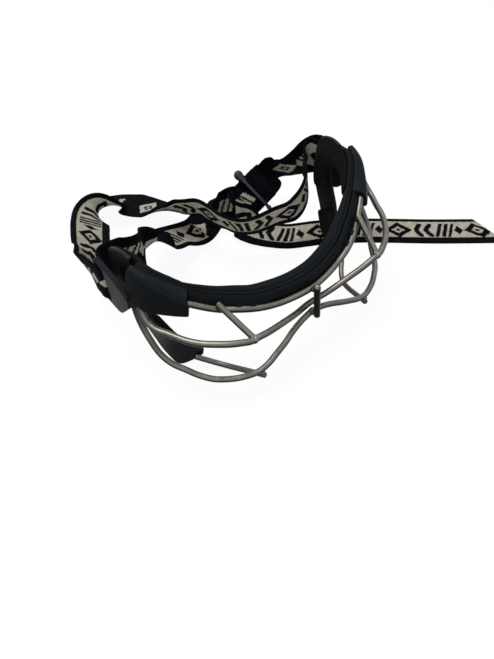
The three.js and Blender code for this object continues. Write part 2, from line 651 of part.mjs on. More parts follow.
const return_route = [
  ...behind_anchor(-1, -1),
  [-78.5, 51.5, 49, 0, 0, 1], [-67, 53.5, 47, -0.25, -0.02, 0.96], [-56.5, 52.5, 44.5, -0.31, -0.03, 0.95],
  [-46.5, 60.5, 36, -0.4, -0.55, 0.73], [-36, 68.5, 28, -0.3, -0.7, 0.6], [-27, 73, 20, -0.24, -0.93, 0.25],
  [-14.5, 78.5, 12, -0.15, -0.98, 0.13], [-0.5, 81.5, 7, -0.1, -0.97, 0.2], [8, 83.5, 9, -0.15, -0.8, 0.55],
  [14.5, 85, 12.3, -0.3, -0.4, 0.87], [22, 84, 12.6, -0.45, 0.1, 0.88], [34.5, 79.8, 12.3, -0.38, 0.6, 0.7],
  row_of(at_slider(-FOLD_REACH, slot_offset), slider_bars),
  row_of(at_slider(-FOLD_REACH / 2, slot_offset), slider_bars),
  row_of(at_slider(0, slot_offset), slider_bars),
  ...half_turn(at_slider(FOLD_REACH - slot_offset, 0), slider_down, slider_way, slot_offset, slider_bars),
  row_of(at_slider(0, -slot_offset), slider_bars),
  row_of(at_slider(-FOLD_REACH / 2, -slot_offset), slider_bars),
  row_of(at_slider(-FOLD_REACH, -slot_offset), slider_bars),
];
const tail_route = [
  row_of(at_slider(-FOLD_REACH - 1.5 * GAP, -slot_offset), slider_bars),
  row_of(at_slider(-FOLD_REACH - SLIDER_THICKNESS, -slot_offset), slider_bars),
  [34.3, 71, 14, -0.12, 0.6, 0.8], [30.5, 68.5, 13.5, 0.05, 0.35, 0.93],
  [28.5, 64.5, 13.5, 0.25, 0.2, 0.95],
  [29.5, 60.5, 12.8, 0.45, 0.4, 0.8], [32.5, 55.5, 9.6, 0.62, 0.55, 0.55], [37.5, 51, 5.2, 0.69, 0.69, 0.2],
  [43.5, 45.5, 2.4, 0.7, 0.7, 0.05], [52, 38, 1, 0.68, 0.72, 0], [73, 25.5, 1, 0.6, 0.8, 0],
  [94.5, 10.5, 0.9, 0.6, 0.8, 0], [113, -5, 0.9, 0.6, 0.8, 0], [136, -25, 0.9, 0.62, 0.78, 0],
  [158, -43, 0.9, 0.62, 0.78, 0], [175.5, -57, 0.9, 0.62, 0.78, 0],
];
const upper_route = [
  ...behind_anchor(1, 1),
  [86.2, 51.5, 48, -0.1, 0.05, 0.98], [84, 57, 44, -0.3, 0, 0.94], [81.5, 63.5, 38.5, -0.43, -0.12, 0.89],
  [79, 70, 33.5, -0.47, -0.22, 0.85], [76, 75.5, 29.5, -0.48, -0.18, 0.85],
  [72.5, 78.3, 26.5, -0.44, 0.15, 0.88],
  row_of(at_slider(2.8 * END_REACH, 1.35 * bar_offset), new THREE.Vector3(-0.34, 0.6, 0.72)),
  row_of(at_slider(1.9 * END_REACH, 1.12 * bar_offset), slider_bars),
  row_of(at_slider(END_REACH, bar_offset), slider_bars),
];

const strap = new THREE.Group();
add('strap_front_band', webbing(front_band_route), 'webbing', strap);
add('strap_return_run', webbing(return_route), 'webbing', strap);
add('strap_upper_run', webbing(upper_route), 'webbing', strap);
add('strap_tail', webbing(tail_route), 'webbing', strap);

// Slider: a plate with two slots and three bars
function slider() {
  const half_height = bar_offset + SLIDER_BAR / 2;
  const shape = new THREE.Shape();
  const corner_x = SLIDER_LENGTH / 2 - SLIDER_CORNER;
  const corner_y = half_height - SLIDER_CORNER;
  shape.absarc(corner_x, corner_y, SLIDER_CORNER, 0, Math.PI / 2);
  shape.absarc(-corner_x, corner_y, SLIDER_CORNER, Math.PI / 2, Math.PI);
  shape.absarc(-corner_x, -corner_y, SLIDER_CORNER, Math.PI, 1.5 * Math.PI);
  shape.absarc(corner_x, -corner_y, SLIDER_CORNER, 1.5 * Math.PI, 2 * Math.PI);
  shape.closePath();
  for (const middle of [-slot_offset, slot_offset]) {
    const slot = new THREE.Path();
    slot.moveTo(-SLIDER_SLOT_LENGTH / 2, middle - SLIDER_SLOT / 2);
    slot.lineTo(-SLIDER_SLOT_LENGTH / 2, middle + SLIDER_SLOT / 2);
    slot.lineTo(SLIDER_SLOT_LENGTH / 2, middle + SLIDER_SLOT / 2);
    slot.lineTo(SLIDER_SLOT_LENGTH / 2, middle - SLIDER_SLOT / 2);
    slot.closePath();
    shape.holes.push(slot);
  }
  const options = { depth: SLIDER_THICKNESS, bevelEnabled: false, curveSegments: 4 };
  const geometry = new THREE.ExtrudeGeometry(shape, options);
  geometry.translate(0, 0, -SLIDER_THICKNESS / 2);
  geometry.applyMatrix4(new THREE.Matrix4().makeBasis(slider_bars, slider_down, slider_way));
  geometry.translate(slider_centre.x, slider_centre.y, slider_centre.z);
  return facing_out(welded(geometry));
}
add('strap_slider', slider(), 'slider', strap);

const part = new THREE.Group();
part.add(goggles);
part.add(strap);
part.updateMatrixWorld(true);
export default part;
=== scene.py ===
# Wire-cage sports goggles with a two-faced webbing head strap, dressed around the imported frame.
# Metres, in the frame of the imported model: +X is the wearer's left and the wearer looks along -Y.
import math
from functools import partial

import bmesh
import bpy
import numpy as np
from mathutils import Matrix, Vector


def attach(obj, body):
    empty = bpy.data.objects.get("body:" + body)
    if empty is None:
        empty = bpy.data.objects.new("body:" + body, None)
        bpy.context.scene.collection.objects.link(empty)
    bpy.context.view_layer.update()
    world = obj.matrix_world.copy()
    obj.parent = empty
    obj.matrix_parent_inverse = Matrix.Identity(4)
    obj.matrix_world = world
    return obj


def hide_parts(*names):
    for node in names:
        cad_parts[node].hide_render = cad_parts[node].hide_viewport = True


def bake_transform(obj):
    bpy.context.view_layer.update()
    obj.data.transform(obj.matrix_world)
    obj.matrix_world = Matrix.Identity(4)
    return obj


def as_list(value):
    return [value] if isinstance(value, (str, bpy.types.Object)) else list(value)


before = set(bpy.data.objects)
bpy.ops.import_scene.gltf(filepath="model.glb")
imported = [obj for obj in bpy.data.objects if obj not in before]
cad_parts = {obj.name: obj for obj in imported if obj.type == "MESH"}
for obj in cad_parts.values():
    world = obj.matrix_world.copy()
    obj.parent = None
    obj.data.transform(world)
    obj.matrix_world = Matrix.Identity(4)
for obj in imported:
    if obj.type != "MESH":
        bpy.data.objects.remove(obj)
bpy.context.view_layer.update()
scene = bpy.context.scene
MM = 0.001

# Camera, solved on matching points of the two halves of the cage
camera_place = Vector((-139.19, -146.32, 250.73)) * MM
camera_yaw, camera_pitch, camera_roll = (math.radians(a) for a in (39.893, 54.145, 0.15))
FOCAL_PIXELS = 493.156
PICTURE_HEIGHT = 659
SENSOR = 36
camera_data = bpy.data.cameras.new("camera")
camera_data.sensor_width = SENSOR
camera_data.lens = FOCAL_PIXELS * SENSOR / PICTURE_HEIGHT
camera_data.clip_start = 0.01
camera = bpy.data.objects.new("camera", camera_data)
camera.matrix_world = (
    Matrix.Translation(camera_place) @ Matrix.Rotation(-camera_yaw, 4, "Z")
    @ Matrix.Rotation(math.pi / 2 - camera_pitch, 4, "X") @ Matrix.Rotation(camera_roll, 4, "Z"))
scene.collection.objects.link(camera)
scene.camera = camera

# Sizes that the solids have too
HALF_WIDTH = 84 * MM
DEPTH = 91 * MM
HEIGHT = 80 * MM
GAP = 0.3 * MM
WIRE_DIAMETER = 3.6 * MM
STRUT_DIAMETER = 3.4 * MM
POST_DIAMETER = 3.8 * MM
POST_STAND_UP = 3.4 * MM
POST_HANG_DOWN = 1.5 * MM
RAIL_DEPTH = 3 * MM
RAIL_HEIGHT = 6.8 * MM
RAIL_BEVEL = 1 * MM
PAD_DEPTH = 7 * MM
PAD_HEIGHT = 11 * MM
PAD_CROWN = 0.5 * MM
PAD_END_DEPTH = 3.6 * MM
HOUSING_TOP_WIDTH = 4.2 * MM
HOUSING_FRONT_WIDTH = 9 * MM
HOUSING_FOOT_WIDTH = 10.8 * MM
HOUSING_FRONT_HEIGHT = 10.6 * MM
HOUSING_REAR_HEIGHT = 18.4 * MM
HOUSING_BEVEL = 1.4 * MM
ANCHOR_THICKNESS = 3 * MM
ANCHOR_LENGTH = 33 * MM
ANCHOR_SLOPE_LENGTH = 15 * MM
ANCHOR_SLOPE_HEIGHT = 19 * MM
ANCHOR_HEIGHT = 31 * MM
ANCHOR_CORNER = 3 * MM
ANCHOR_BAR = 4.5 * MM
SLOT_WIDTH = 5 * MM
SLOT_HEIGHT = 26 * MM
FRAME_THICKNESS = 2.2 * MM
TEMPLE_PAD_THICKNESS = 5.6 * MM
CHEEK_PAD_THICKNESS = 4 * MM
LINER_DEPTH = 1.4 * MM
LINER_REAR_DEPTH = 5.2 * MM
LINER_RIM = 1.2 * MM
LINER_CREASE = 4 * MM
LINER_REAR_CREASE = 8 * MM
LINER_HEIGHT = 9 * MM
LINER_REAR_HEIGHT = 14 * MM
STRUT_REACH = 3.2 * MM
SLEEVE_LENGTH = 3 * MM
SLEEVE_WALL = 1.2 * MM
STRAP_WIDTH = 25 * MM
STRAP_THICKNESS = 1.4 * MM
SLIDER_LENGTH = 34 * MM
SLIDER_THICKNESS = 2.2 * MM
SLIDER_BAR = 3 * MM
SLIDER_SLOT = 3.6 * MM
SLIDER_SLOT_LENGTH = 26 * MM
SLIDER_CORNER = 4 * MM
FOLD_REACH = 10 * MM
END_REACH = 5.6 * MM

# Sizes and numbers of the dressed part alone
HOUSING_RIDGE = 3 * MM
ANCHOR_DIP = 4 * MM  # the anchor's front corner stays under the housing's ridge
ANCHOR_DIP_LENGTH = 10 * MM
PAD_FOOT = 2 * MM
SLEEVE_FROM = -0.15 * math.pi
SLEEVE_TO = 0.45 * math.pi
PLATE_EDGE = 0.5 * MM
POST_BEAD = 1.95 * MM
FOOT_BEAD = 2.1 * MM
STRUT_BEAD = 1.9 * MM
EDGE_ROLL = 0.55 * MM
FACE_COLUMNS = 22
RIBBON_STEP = 1.3 * MM
WIRE_STEP = 1.2 * MM
BAND_STEP = 1 / 272
RETURN_DARK = ((-1.0, 0.036), (0.112, 1.0))  # stretches where both faces have the dark ground
TAIL_DARK = ((-1.0, 0.012),)
TAIL_SLANT = -0.7
SLANT_REACH = 20 * MM
FIBRES = 90
FIBRE_THICKNESS = 0.09 * MM
FOAM_VOXEL = 0.6 * MM
FOAM_PASSES = 4
SHARP_ANGLE = 35
DOUBLES = 2e-6
CORNER_SHARE = 0.45  # how much of an outline's edge one rounded corner may take up
END_SHARES = np.array([0, 0.08, 0.25, 0.55, 1.0])
FLOOR_REACH = 3
FLOOR_HEIGHT = -0.0002
FLOOR_SHADE = 0.1
FLOOR_GLOW = 0.925
ROOM_LIGHT = 0.42
# The slider's end bars: how far in from the end, where a minus means the other end, and how thick
SLIDER_END_BARS = ((-1.6 * MM, 3.2 * MM), (1.2 * MM, 6.6 * MM), (3.8 * MM, 5.8 * MM), (6.4 * MM, 4.4 * MM))

# Places on the cage, as shares of the half width, the depth and the height
brow_wire_shares = [
    [0, 0.12, 0.595], [0.135, 0.135, 0.59], [0.265, 0.16, 0.595], [0.4, 0.19, 0.63],
    [0.515, 0.24, 0.66], [0.62, 0.305, 0.68], [0.75, 0.4, 0.74], [0.825, 0.47, 0.775],
]
brow_line_shares = [
    [0, 0.18, 0.68], [0.125, 0.195, 0.67], [0.25, 0.225, 0.67], [0.375, 0.26, 0.685],
    [0.475, 0.31, 0.71], [0.58, 0.365, 0.74], [0.715, 0.455, 0.805], [0.8, 0.525, 0.87],
    [0.87, 0.605, 0.92], [0.905, 0.69, 0.94], [0.92, 0.78, 0.945],
]
centre_wire_shares = [
    [0, 0.12, 0.43], [0.145, 0.095, 0.465], [0.3, 0.07, 0.52], [0.43, 0.055, 0.56], [0.515, 0.05, 0.59],
]
side_wire_shares = [
    [0.58, 0.055, 0.597], [0.62, 0.07, 0.605], [0.68, 0.1, 0.61], [0.755, 0.155, 0.61],
    [0.82, 0.215, 0.605], [0.875, 0.285, 0.605], [0.92, 0.37, 0.605], [0.965, 0.45, 0.61],
    [0.98, 0.51, 0.635], [0.975, 0.56, 0.69], [0.965, 0.59, 0.75],
]
lower_wire_shares = [
    [0, 0.09, 0.375], [0.09, 0.085, 0.355], [0.18, 0.075, 0.32], [0.27, 0.055, 0.285],
    [0.36, 0.045, 0.24], [0.44, 0.035, 0.21], [0.525, 0.04, 0.19], [0.635, 0.075, 0.19],
    [0.715, 0.12, 0.19], [0.785, 0.17, 0.2], [0.845, 0.24, 0.215], [0.89, 0.305, 0.24],
    [0.945, 0.375, 0.285], [0.975, 0.445, 0.34], [0.985, 0.52, 0.425], [0.985, 0.595, 0.53],
    [0.975, 0.64, 0.65], [0.965, 0.647, 0.76],
]
frame_outer_shares = [
    [0.895, 0.735, 0.93], [0.905, 0.8, 0.935], [0.915, 0.86, 0.92], [0.925, 0.92, 0.88],
    [0.93, 0.95, 0.67], [0.925, 0.925, 0.47], [0.9, 0.83, 0.3], [0.875, 0.725, 0.13],
    [0.86, 0.61, 0.02], [0.835, 0.49, 0], [0.755, 0.445, 0.025], [0.675, 0.42, 0.06],
]
frame_inner_shares = [
    [0.89, 0.725, 0.73], [0.895, 0.735, 0.735], [0.905, 0.755, 0.72], [0.915, 0.785, 0.68],
    [0.92, 0.79, 0.605], [0.91, 0.74, 0.5], [0.89, 0.67, 0.38], [0.85, 0.61, 0.28],
    [0.8, 0.56, 0.195], [0.745, 0.505, 0.145], [0.7, 0.455, 0.12], [0.665, 0.42, 0.11],
]
strut_top_share = [0.608, 0.3, 0.68]
strut_foot_share = [0.545, 0.05, 0.592]
lower_strut_bend_share = [0.615, 0.315, 0.008]
lower_strut_wire_share = [0.5, 0.038, 0.195]
lower_strut_seat_share = 0.92
lower_strut_middle_share = 0.45
anchor_place_share = [0.985, 0.622, 0.625]
pad_end_share = 0.045
housing_start_share = 0.185
housing_end_share = 0.04
temple_pad_end_share = 0.45
cheek_pad_start_share = 0.565
liner_start_share = 0.168
liner_end_share = 0.012
inner_sleeve_share = 0.73
outer_sleeve_share = 0.78


def place(share, side=1):
    return np.array((side * share[0] * HALF_WIDTH, (share[1] - 0.5) * DEPTH, share[2] * HEIGHT))


def places_of(shares, side=1):
    return [place(s, side) for s in shares]


def mirrored_through(shares):
    return places_of(shares[:0:-1], -1) + places_of(shares)


def between(first, last, share):
    return first + (last - first) * share


def unit(v):
    v = np.asarray(v, float)
    return v / np.maximum(np.linalg.norm(v, axis=-1, keepdims=True), 1e-12)


def spline(points, t):
    """Places and tangents on a centripetal spline through the points, at shares t of its stretches."""
    points = np.asarray(points, float)
    last = len(points) - 1
    places = []
    tangents = []
    for share in np.atleast_1d(t):
        at = last * min(max(share, 0), 1)
        i = min(int(at), last - 1)
        w = at - i
        b = points[i]
        c = points[i + 1]
        a = points[i - 1] if i > 0 else 2 * b - c
        d = points[i + 2] if i + 2 <= last else 2 * c - b
        spans = [np.sum((q - p) ** 2) ** 0.25 for p, q in ((a, b), (b, c), (c, d))]
        middle = spans[1] if spans[1] > 1e-7 else 1.0
        first = spans[0] if spans[0] > 1e-7 else middle
        third = spans[2] if spans[2] > 1e-7 else middle
        leaving = ((b - a) / first - (c - a) / (first + middle) + (c - b) / middle) * middle
        arriving = ((c - b) / middle - (d - b) / (middle + third) + (d - c) / third) * middle
        square = -3 * b + 3 * c - 2 * leaving - arriving
        cube = 2 * b - 2 * c + leaving + arriving
        places.append(b + leaving * w + square * w * w + cube * w ** 3)
        tangents.append(leaving + 2 * square * w + 3 * cube * w * w)
    return np.array(places), np.array(tangents)


class Route:
    """A smooth route that can be read by shares of its length."""

    def __init__(self, points):
        self.points = np.asarray(points, float)
        self.t = np.linspace(0, 1, 60 * (len(self.points) - 1) + 1)
        self.places, _ = spline(self.points, self.t)
        steps = np.linalg.norm(np.diff(self.places, axis=0), axis=1)
        self.lengths = np.concatenate(([0], np.cumsum(steps)))
        self.length = self.lengths[-1]

    def at(self, shares):
        t = np.interp(np.atleast_1d(shares) * self.length, self.lengths, self.t)
        places, tangents = spline(self.points, t)
        return places, unit(tangents)

    def nearest(self, point):
        return self.lengths[np.argmin(np.linalg.norm(self.places - point, axis=1))] / self.length


# Mesh helpers


def new_object(name, data):
    made = bpy.data.objects.new(name, data)
    scene.collection.objects.link(made)
    return made


def new_mesh(name, vertices, faces=()):
    mesh = bpy.data.meshes.new(name)
    mesh.from_pydata([tuple(map(float, v)) for v in vertices], [], [tuple(f) for f in faces])
    return mesh


def tidy_faces(piece, sharp_angle=SHARP_ANGLE):
    """Doubles merged, faces turned outwards, and only edges over the angle left sharp."""
    work = bmesh.new()
    work.from_mesh(piece.data)
    bmesh.ops.remove_doubles(work, verts=work.verts, dist=DOUBLES)
    bmesh.ops.recalc_face_normals(work, faces=work.faces)
    for face in work.faces:
        face.smooth = True
    for edge in work.edges:
        edge.smooth = len(edge.link_faces) == 2 and edge.calc_face_angle(0) < math.radians(sharp_angle)
    work.to_mesh(piece.data)
    work.free()


def ring_faces(rings, columns):
    """Four-sided faces between each ring of points and the next."""
    faces = []
    for r in range(rings - 1):
        for k in range(columns):
            n = (k + 1) % columns
            faces.append((r * columns + k, r * columns + n, (r + 1) * columns + n, (r + 1) * columns + k))
    return faces


def loft(name, rings, sharp_angle=SHARP_ANGLE):
    """One closed body through rings of points, with a fan at each end."""
    rings = np.asarray(rings, float)
    count = rings.shape[1]
    vertices = list(rings.reshape(-1, 3)) + [rings[0].mean(0), rings[-1].mean(0)]
    faces = ring_faces(len(rings), count)
    first = len(vertices) - 2
    last = (len(rings) - 1) * count
    for k in range(count):
        n = (k + 1) % count
        faces.append((first, n, k))
        faces.append((first + 1, last + k, last + n))
    piece = new_object(name, new_mesh(name, vertices, faces))
    tidy_faces(piece, sharp_angle)
    return piece


def rounded(points, radii, steps=4):
    """A closed outline with each corner turned on an arc of its own radius."""
    points = [np.array(p, float) for p in points]
    out = []
    for k, corner in enumerate(points):
        before = points[k - 1] - corner
        after = points[(k + 1) % len(points)] - corner
        radius = radii[k] if hasattr(radii, "__len__") else radii
        reach = min(radius, CORNER_SHARE * np.linalg.norm(before), CORNER_SHARE * np.linalg.norm(after))
        start = corner + unit(before) * reach
        end = corner + unit(after) * reach
        for s in np.linspace(0, 1, steps + 1):
            out.append((1 - s) ** 2 * start + 2 * s * (1 - s) * corner + s * s * end)
    return np.array(out)


def turned(corners, steps=4):
    """The same for corners given as x, y and a radius in millimetres."""
    return rounded([corner[:2] for corner in corners], [corner[2] * MM for corner in corners], steps)


def rounded_ends(rings_at, steps, length, radius):
    """Rings along a body, closer together and drawn in at its ends."""
    reach = radius / length
    near = END_SHARES * reach
    shares = np.concatenate((near, np.linspace(reach, 1 - reach, steps)[1:-1], 1 - near[::-1]))
    from_end = np.minimum(shares, 1 - shares) * length
    drawn_in = radius * (1 - np.sqrt(np.clip(1 - (1 - np.clip(from_end / radius, 0, 1)) ** 2, 0, 1)))
    return [rings_at(share, inset) for share, inset in zip(shares, drawn_in)]


def inset_outline(outline, inset):
    """An outline with each of its points moved towards its middle by the inset."""
    if inset <= 0:
        return outline
    middle = (outline.max(0) + outline.min(0)) / 2
    half = np.maximum((outline.max(0) - outline.min(0)) / 2, 1e-9)
    return middle + (outline - middle) * np.maximum(1 - inset / half, 0.05)


def evaluated_mesh(piece):
    bpy.context.view_layer.update()
    made = bpy.data.meshes.new_from_object(piece.evaluated_get(bpy.context.evaluated_depsgraph_get()))
    made.name = piece.name
    return made


def keep_modified(piece, sharp_angle=SHARP_ANGLE):
    """The piece as its modifiers leave it, without them."""
    made = evaluated_mesh(piece)
    piece.modifiers.clear()
    piece.data = made
    tidy_faces(piece, sharp_angle)


def as_mesh(piece):
    """The evaluated object as a plain mesh object of the same name."""
    made = evaluated_mesh(piece)
    name = piece.name
    bpy.data.objects.remove(piece)
    return new_object(name, made)


def smooth_union(piece, others):
    """Joins solids into the piece and removes them."""
    for other in others:
        step = piece.modifiers.new("join", "BOOLEAN")
        step.operation = "UNION"
        step.solver = "EXACT"
        step.object = other
    keep_modified(piece)
    for other in others:
        bpy.data.objects.remove(other)
    return piece


def soft_foam(piece):
    """The piece's skin drawn again in even faces and smoothed, as moulded foam is."""
    skin = piece.modifiers.new("skin", "REMESH")
    skin.mode = "VOXEL"
    skin.voxel_size = FOAM_VOXEL
    even = piece.modifiers.new("even", "SMOOTH")
    even.factor = 0.5
    even.iterations = FOAM_PASSES
    keep_modified(piece, 60)


def plate(name, outline, holes, thickness, basis, origin):
    """A flat plate with rounded edges and holes, stood up by a basis of three columns."""
    curve = bpy.data.curves.new(name, "CURVE")
    curve.dimensions = "2D"
    curve.fill_mode = "BOTH"
    curve.extrude = thickness / 2 - PLATE_EDGE
    curve.bevel_depth = PLATE_EDGE
    curve.bevel_resolution = 3
    curve.offset = -PLATE_EDGE
    for ring in [outline, *holes]:
        line = curve.splines.new("POLY")
        line.points.add(len(ring) - 1)
        for point, (x, y) in zip(line.points, ring):
            point.co = (x, y, 0, 1)
        line.use_cyclic_u = True
    piece = as_mesh(new_object(name, curve))
    columns = Matrix([list(map(float, c)) for c in basis]).transposed().to_4x4()
    piece.data.transform(Matrix.Translation(Vector(map(float, origin))) @ columns)
    tidy_faces(piece)
    return piece


def box_outline(half_x, half_y, corner, centre=(0, 0), steps=6):
    points = []
    for k, (sx, sy) in enumerate(((1, 1), (-1, 1), (-1, -1), (1, -1))):
        cx = centre[0] + sx * (half_x - corner)
        cy = centre[1] + sy * (half_y - corner)
        for s in np.linspace(0, 1, steps + 1):
            angle = math.pi / 2 * (k + s)
            points.append((cx + corner * math.cos(angle), cy + corner * math.sin(angle)))
    return points


# Nodes, and fields of numbers that can be added, multiplied and compared in formulas


def add_node(tree, kind, inputs=(), **settings):
    """A node with its settings. Each input is linked to a field or socket, or set to a value."""
    node = tree.nodes.new(kind)
    for key, value in settings.items():
        setattr(node, key, value)
    for key, value in dict(inputs).items():
        value = getattr(value, "socket", value)
        if isinstance(value, bpy.types.NodeSocket):
            tree.links.new(value, node.inputs[key])
        else:
            node.inputs[key].default_value = value
    return node


class Field:
    def __init__(self, tree, socket):
        self.tree = tree
        self.socket = socket

    def ramp(self, low, high, out_low=0.0, out_high=1.0):
        node = add_node(self.tree, "ShaderNodeMapRange", {
            "Value": self, "From Min": low, "From Max": high, "To Min": out_low, "To Max": out_high})
        return Field(self.tree, node.outputs["Result"])


def maths(tree, operation, *values, clamp=False):
    node = add_node(tree, "ShaderNodeMath", dict(enumerate(values)), operation=operation, use_clamp=clamp)
    return Field(tree, node.outputs[0])


def field_step(operation):
    return lambda field, *others: maths(field.tree, operation, field, *others)


for name, operation in {
    "__add__": "ADD", "__sub__": "SUBTRACT", "__mul__": "MULTIPLY", "__truediv__": "DIVIDE",
    "size": "ABSOLUTE", "wave": "SINE", "wrapped": "FLOORED_MODULO", "stepped": "SNAP",
    "above": "GREATER_THAN", "below": "LESS_THAN", "either": "MAXIMUM", "both": "MINIMUM",
}.items():
    setattr(Field, name, field_step(operation))


class Finish:
    """One procedural material with the usual nodes at hand."""

    def __init__(self, name, **fixed):
        self.material = bpy.data.materials.new(name)
        self.material.use_nodes = True
        self.tree = self.material.node_tree
        self.shader = self.tree.nodes["Principled BSDF"]
        for socket, value in fixed.items():
            self.shader.inputs[socket.replace("_", " ")].default_value = value
        self.places = self.add("TexCoord").outputs["Object"]

    def add(self, kind, inputs=(), **settings):
        return add_node(self.tree, "ShaderNode" + kind, inputs, **settings)

    def field(self, kind, output, inputs=(), **settings):
        return Field(self.tree, self.add(kind, inputs, **settings).outputs[output])

    def noise(self, scale, detail=4.0, rough=0.55):
        return self.field("TexNoise", "Fac", {
            "Scale": scale, "Detail": detail, "Roughness": rough, "Vector": self.places})

    def facing_up(self):
        return self.field("SeparateXYZ", 2, {0: self.add("NewGeometry").outputs["Normal"]})

    def blend(self, factor, first, second):
        first, second = ((*c, 1) if isinstance(c, tuple) else c for c in (first, second))
        return self.add("Mix", {0: factor, 6: first, 7: second}, data_type="RGBA").outputs[2]

    def mottled(self, scale, first, second, detail=5, rough=0.55, low=0.35, high=0.7):
        return self.blend(self.noise(scale, detail, rough).ramp(low, high), first, second)

    def done(self, colour, roughness=None, *bumps):
        """The finished material. Each bump is a height, how far it rises in metres, and its strength."""
        found = {"Base Color": colour, "Roughness": roughness}
        for height, distance, strength in bumps:
            inputs = {"Height": height, "Distance": distance, "Strength": strength}
            if "Normal" in found:
                inputs["Normal"] = found["Normal"]
            found["Normal"] = self.add("Bump", inputs).outputs["Normal"]
        for socket, value in found.items():
            if value is not None:
                self.tree.links.new(getattr(value, "socket", value), self.shader.inputs[socket])
        return self.material


def rubber_finish(name, top_lit_colour):
    """Dark rubber, with painted top light: it turns towards the given paler colour where it faces up."""
    finish = Finish(name, Roughness=0.55, Specular_IOR_Level=0.06)
    cloud = finish.noise(90, 5)
    grain = finish.noise(2600, 3)
    dust = finish.noise(420, 6, 0.7).ramp(0.62, 0.8)
    base = finish.blend(cloud.ramp(0.35, 0.7), (0.0022, 0.0031, 0.0040), (0.0040, 0.0054, 0.0066))
    # Painted top light: paler where the rubber faces up, in patches
    painted_top_light = finish.facing_up().ramp(0.35, 1.0) * cloud.ramp(0.2, 0.7, 0.6, 1.0)
    base = finish.blend(dust * 0.12, finish.blend(painted_top_light, base, top_lit_colour), (0.045, 0.05, 0.055))
    bumps = (grain, 0.00005, 0.5), (finish.noise(240, 4), 0.00018, 0.35)
    return finish.done(base, grain.ramp(0.3, 0.7, 0.46, 0.62), *bumps)


def frame_plastic_finish():
    finish = Finish("matt_frame_plastic", Specular_IOR_Level=0.1)
    base = finish.mottled(120, (0.0032, 0.0042, 0.0052), (0.0062, 0.0076, 0.0090))
    # Painted top light: the plastic turns paler where it faces up
    base = finish.blend(finish.facing_up().ramp(0.3, 0.95), base, (0.0150, 0.0190, 0.0225))
    roughness = finish.noise(300).ramp(0.3, 0.7, 0.42, 0.6)
    return finish.done(base, roughness, (finish.noise(3200, 2), 0.00004, 0.5))


def foam_finish():
    finish = Finish("closed_cell_foam", Roughness=0.92, Specular_IOR_Level=0.04)
    cell = finish.field("TexVoronoi", "Distance", {"Scale": 1500, "Vector": finish.places})
    base = finish.mottled(130, (0.0026, 0.0025, 0.0025), (0.0058, 0.0053, 0.0051), 6, 0.65, 0.3, 0.72)
    base = finish.blend(cell.ramp(0.1, 0.6), base, (0.0100, 0.0091, 0.0086))
    return finish.done(base, None, (cell, 0.00022, 0.6), (finish.noise(380, 5), 0.0004, 0.5))


def wire_finish(name, low, high, worn):
    """Dull metal wire with specks and pits, and painted shade that darkens its sides and underside."""
    finish = Finish(name, Roughness=0.34, Metallic=0.86, Specular_IOR_Level=0.2)
    patina = finish.noise(160, 6, 0.62)
    speck = finish.noise(1500, 3).ramp(0.6, 0.78)
    pit = finish.noise(700, 5, 0.7).ramp(0.64, 0.74)
    base = finish.blend(patina.ramp(0.34, 0.68), low, high)
    base = finish.blend(speck * 0.4, base, worn)
    base = finish.blend(pit * 0.4, base, (0.05, 0.04, 0.032))
    # Painted shade: the metal darkens where it faces sideways and down
    base = finish.blend(finish.facing_up().ramp(0.2, 0.94), (0.005, 0.0043, 0.0036), base)
    return finish.done(base, patina.ramp(0.3, 0.7, 0.28, 0.42), (finish.noise(900), 0.00006, 0.45))


def slider_finish():
    finish = Finish("moulded_slider", Specular_IOR_Level=0.35)
    base = finish.mottled(200, (0.0075, 0.0095, 0.0115), (0.014, 0.017, 0.020))
    roughness = finish.noise(350).ramp(0.3, 0.7, 0.3, 0.48)
    return finish.done(base, roughness, (finish.noise(2400, 2), 0.00003, 0.5))


def fibre_finish():
    finish = Finish("loose_fibres", Roughness=0.9, Specular_IOR_Level=0.05)
    return finish.done(
        finish.mottled(800, (0.004, 0.004, 0.008), (0.24, 0.225, 0.185), 3, low=0.45, high=0.55))


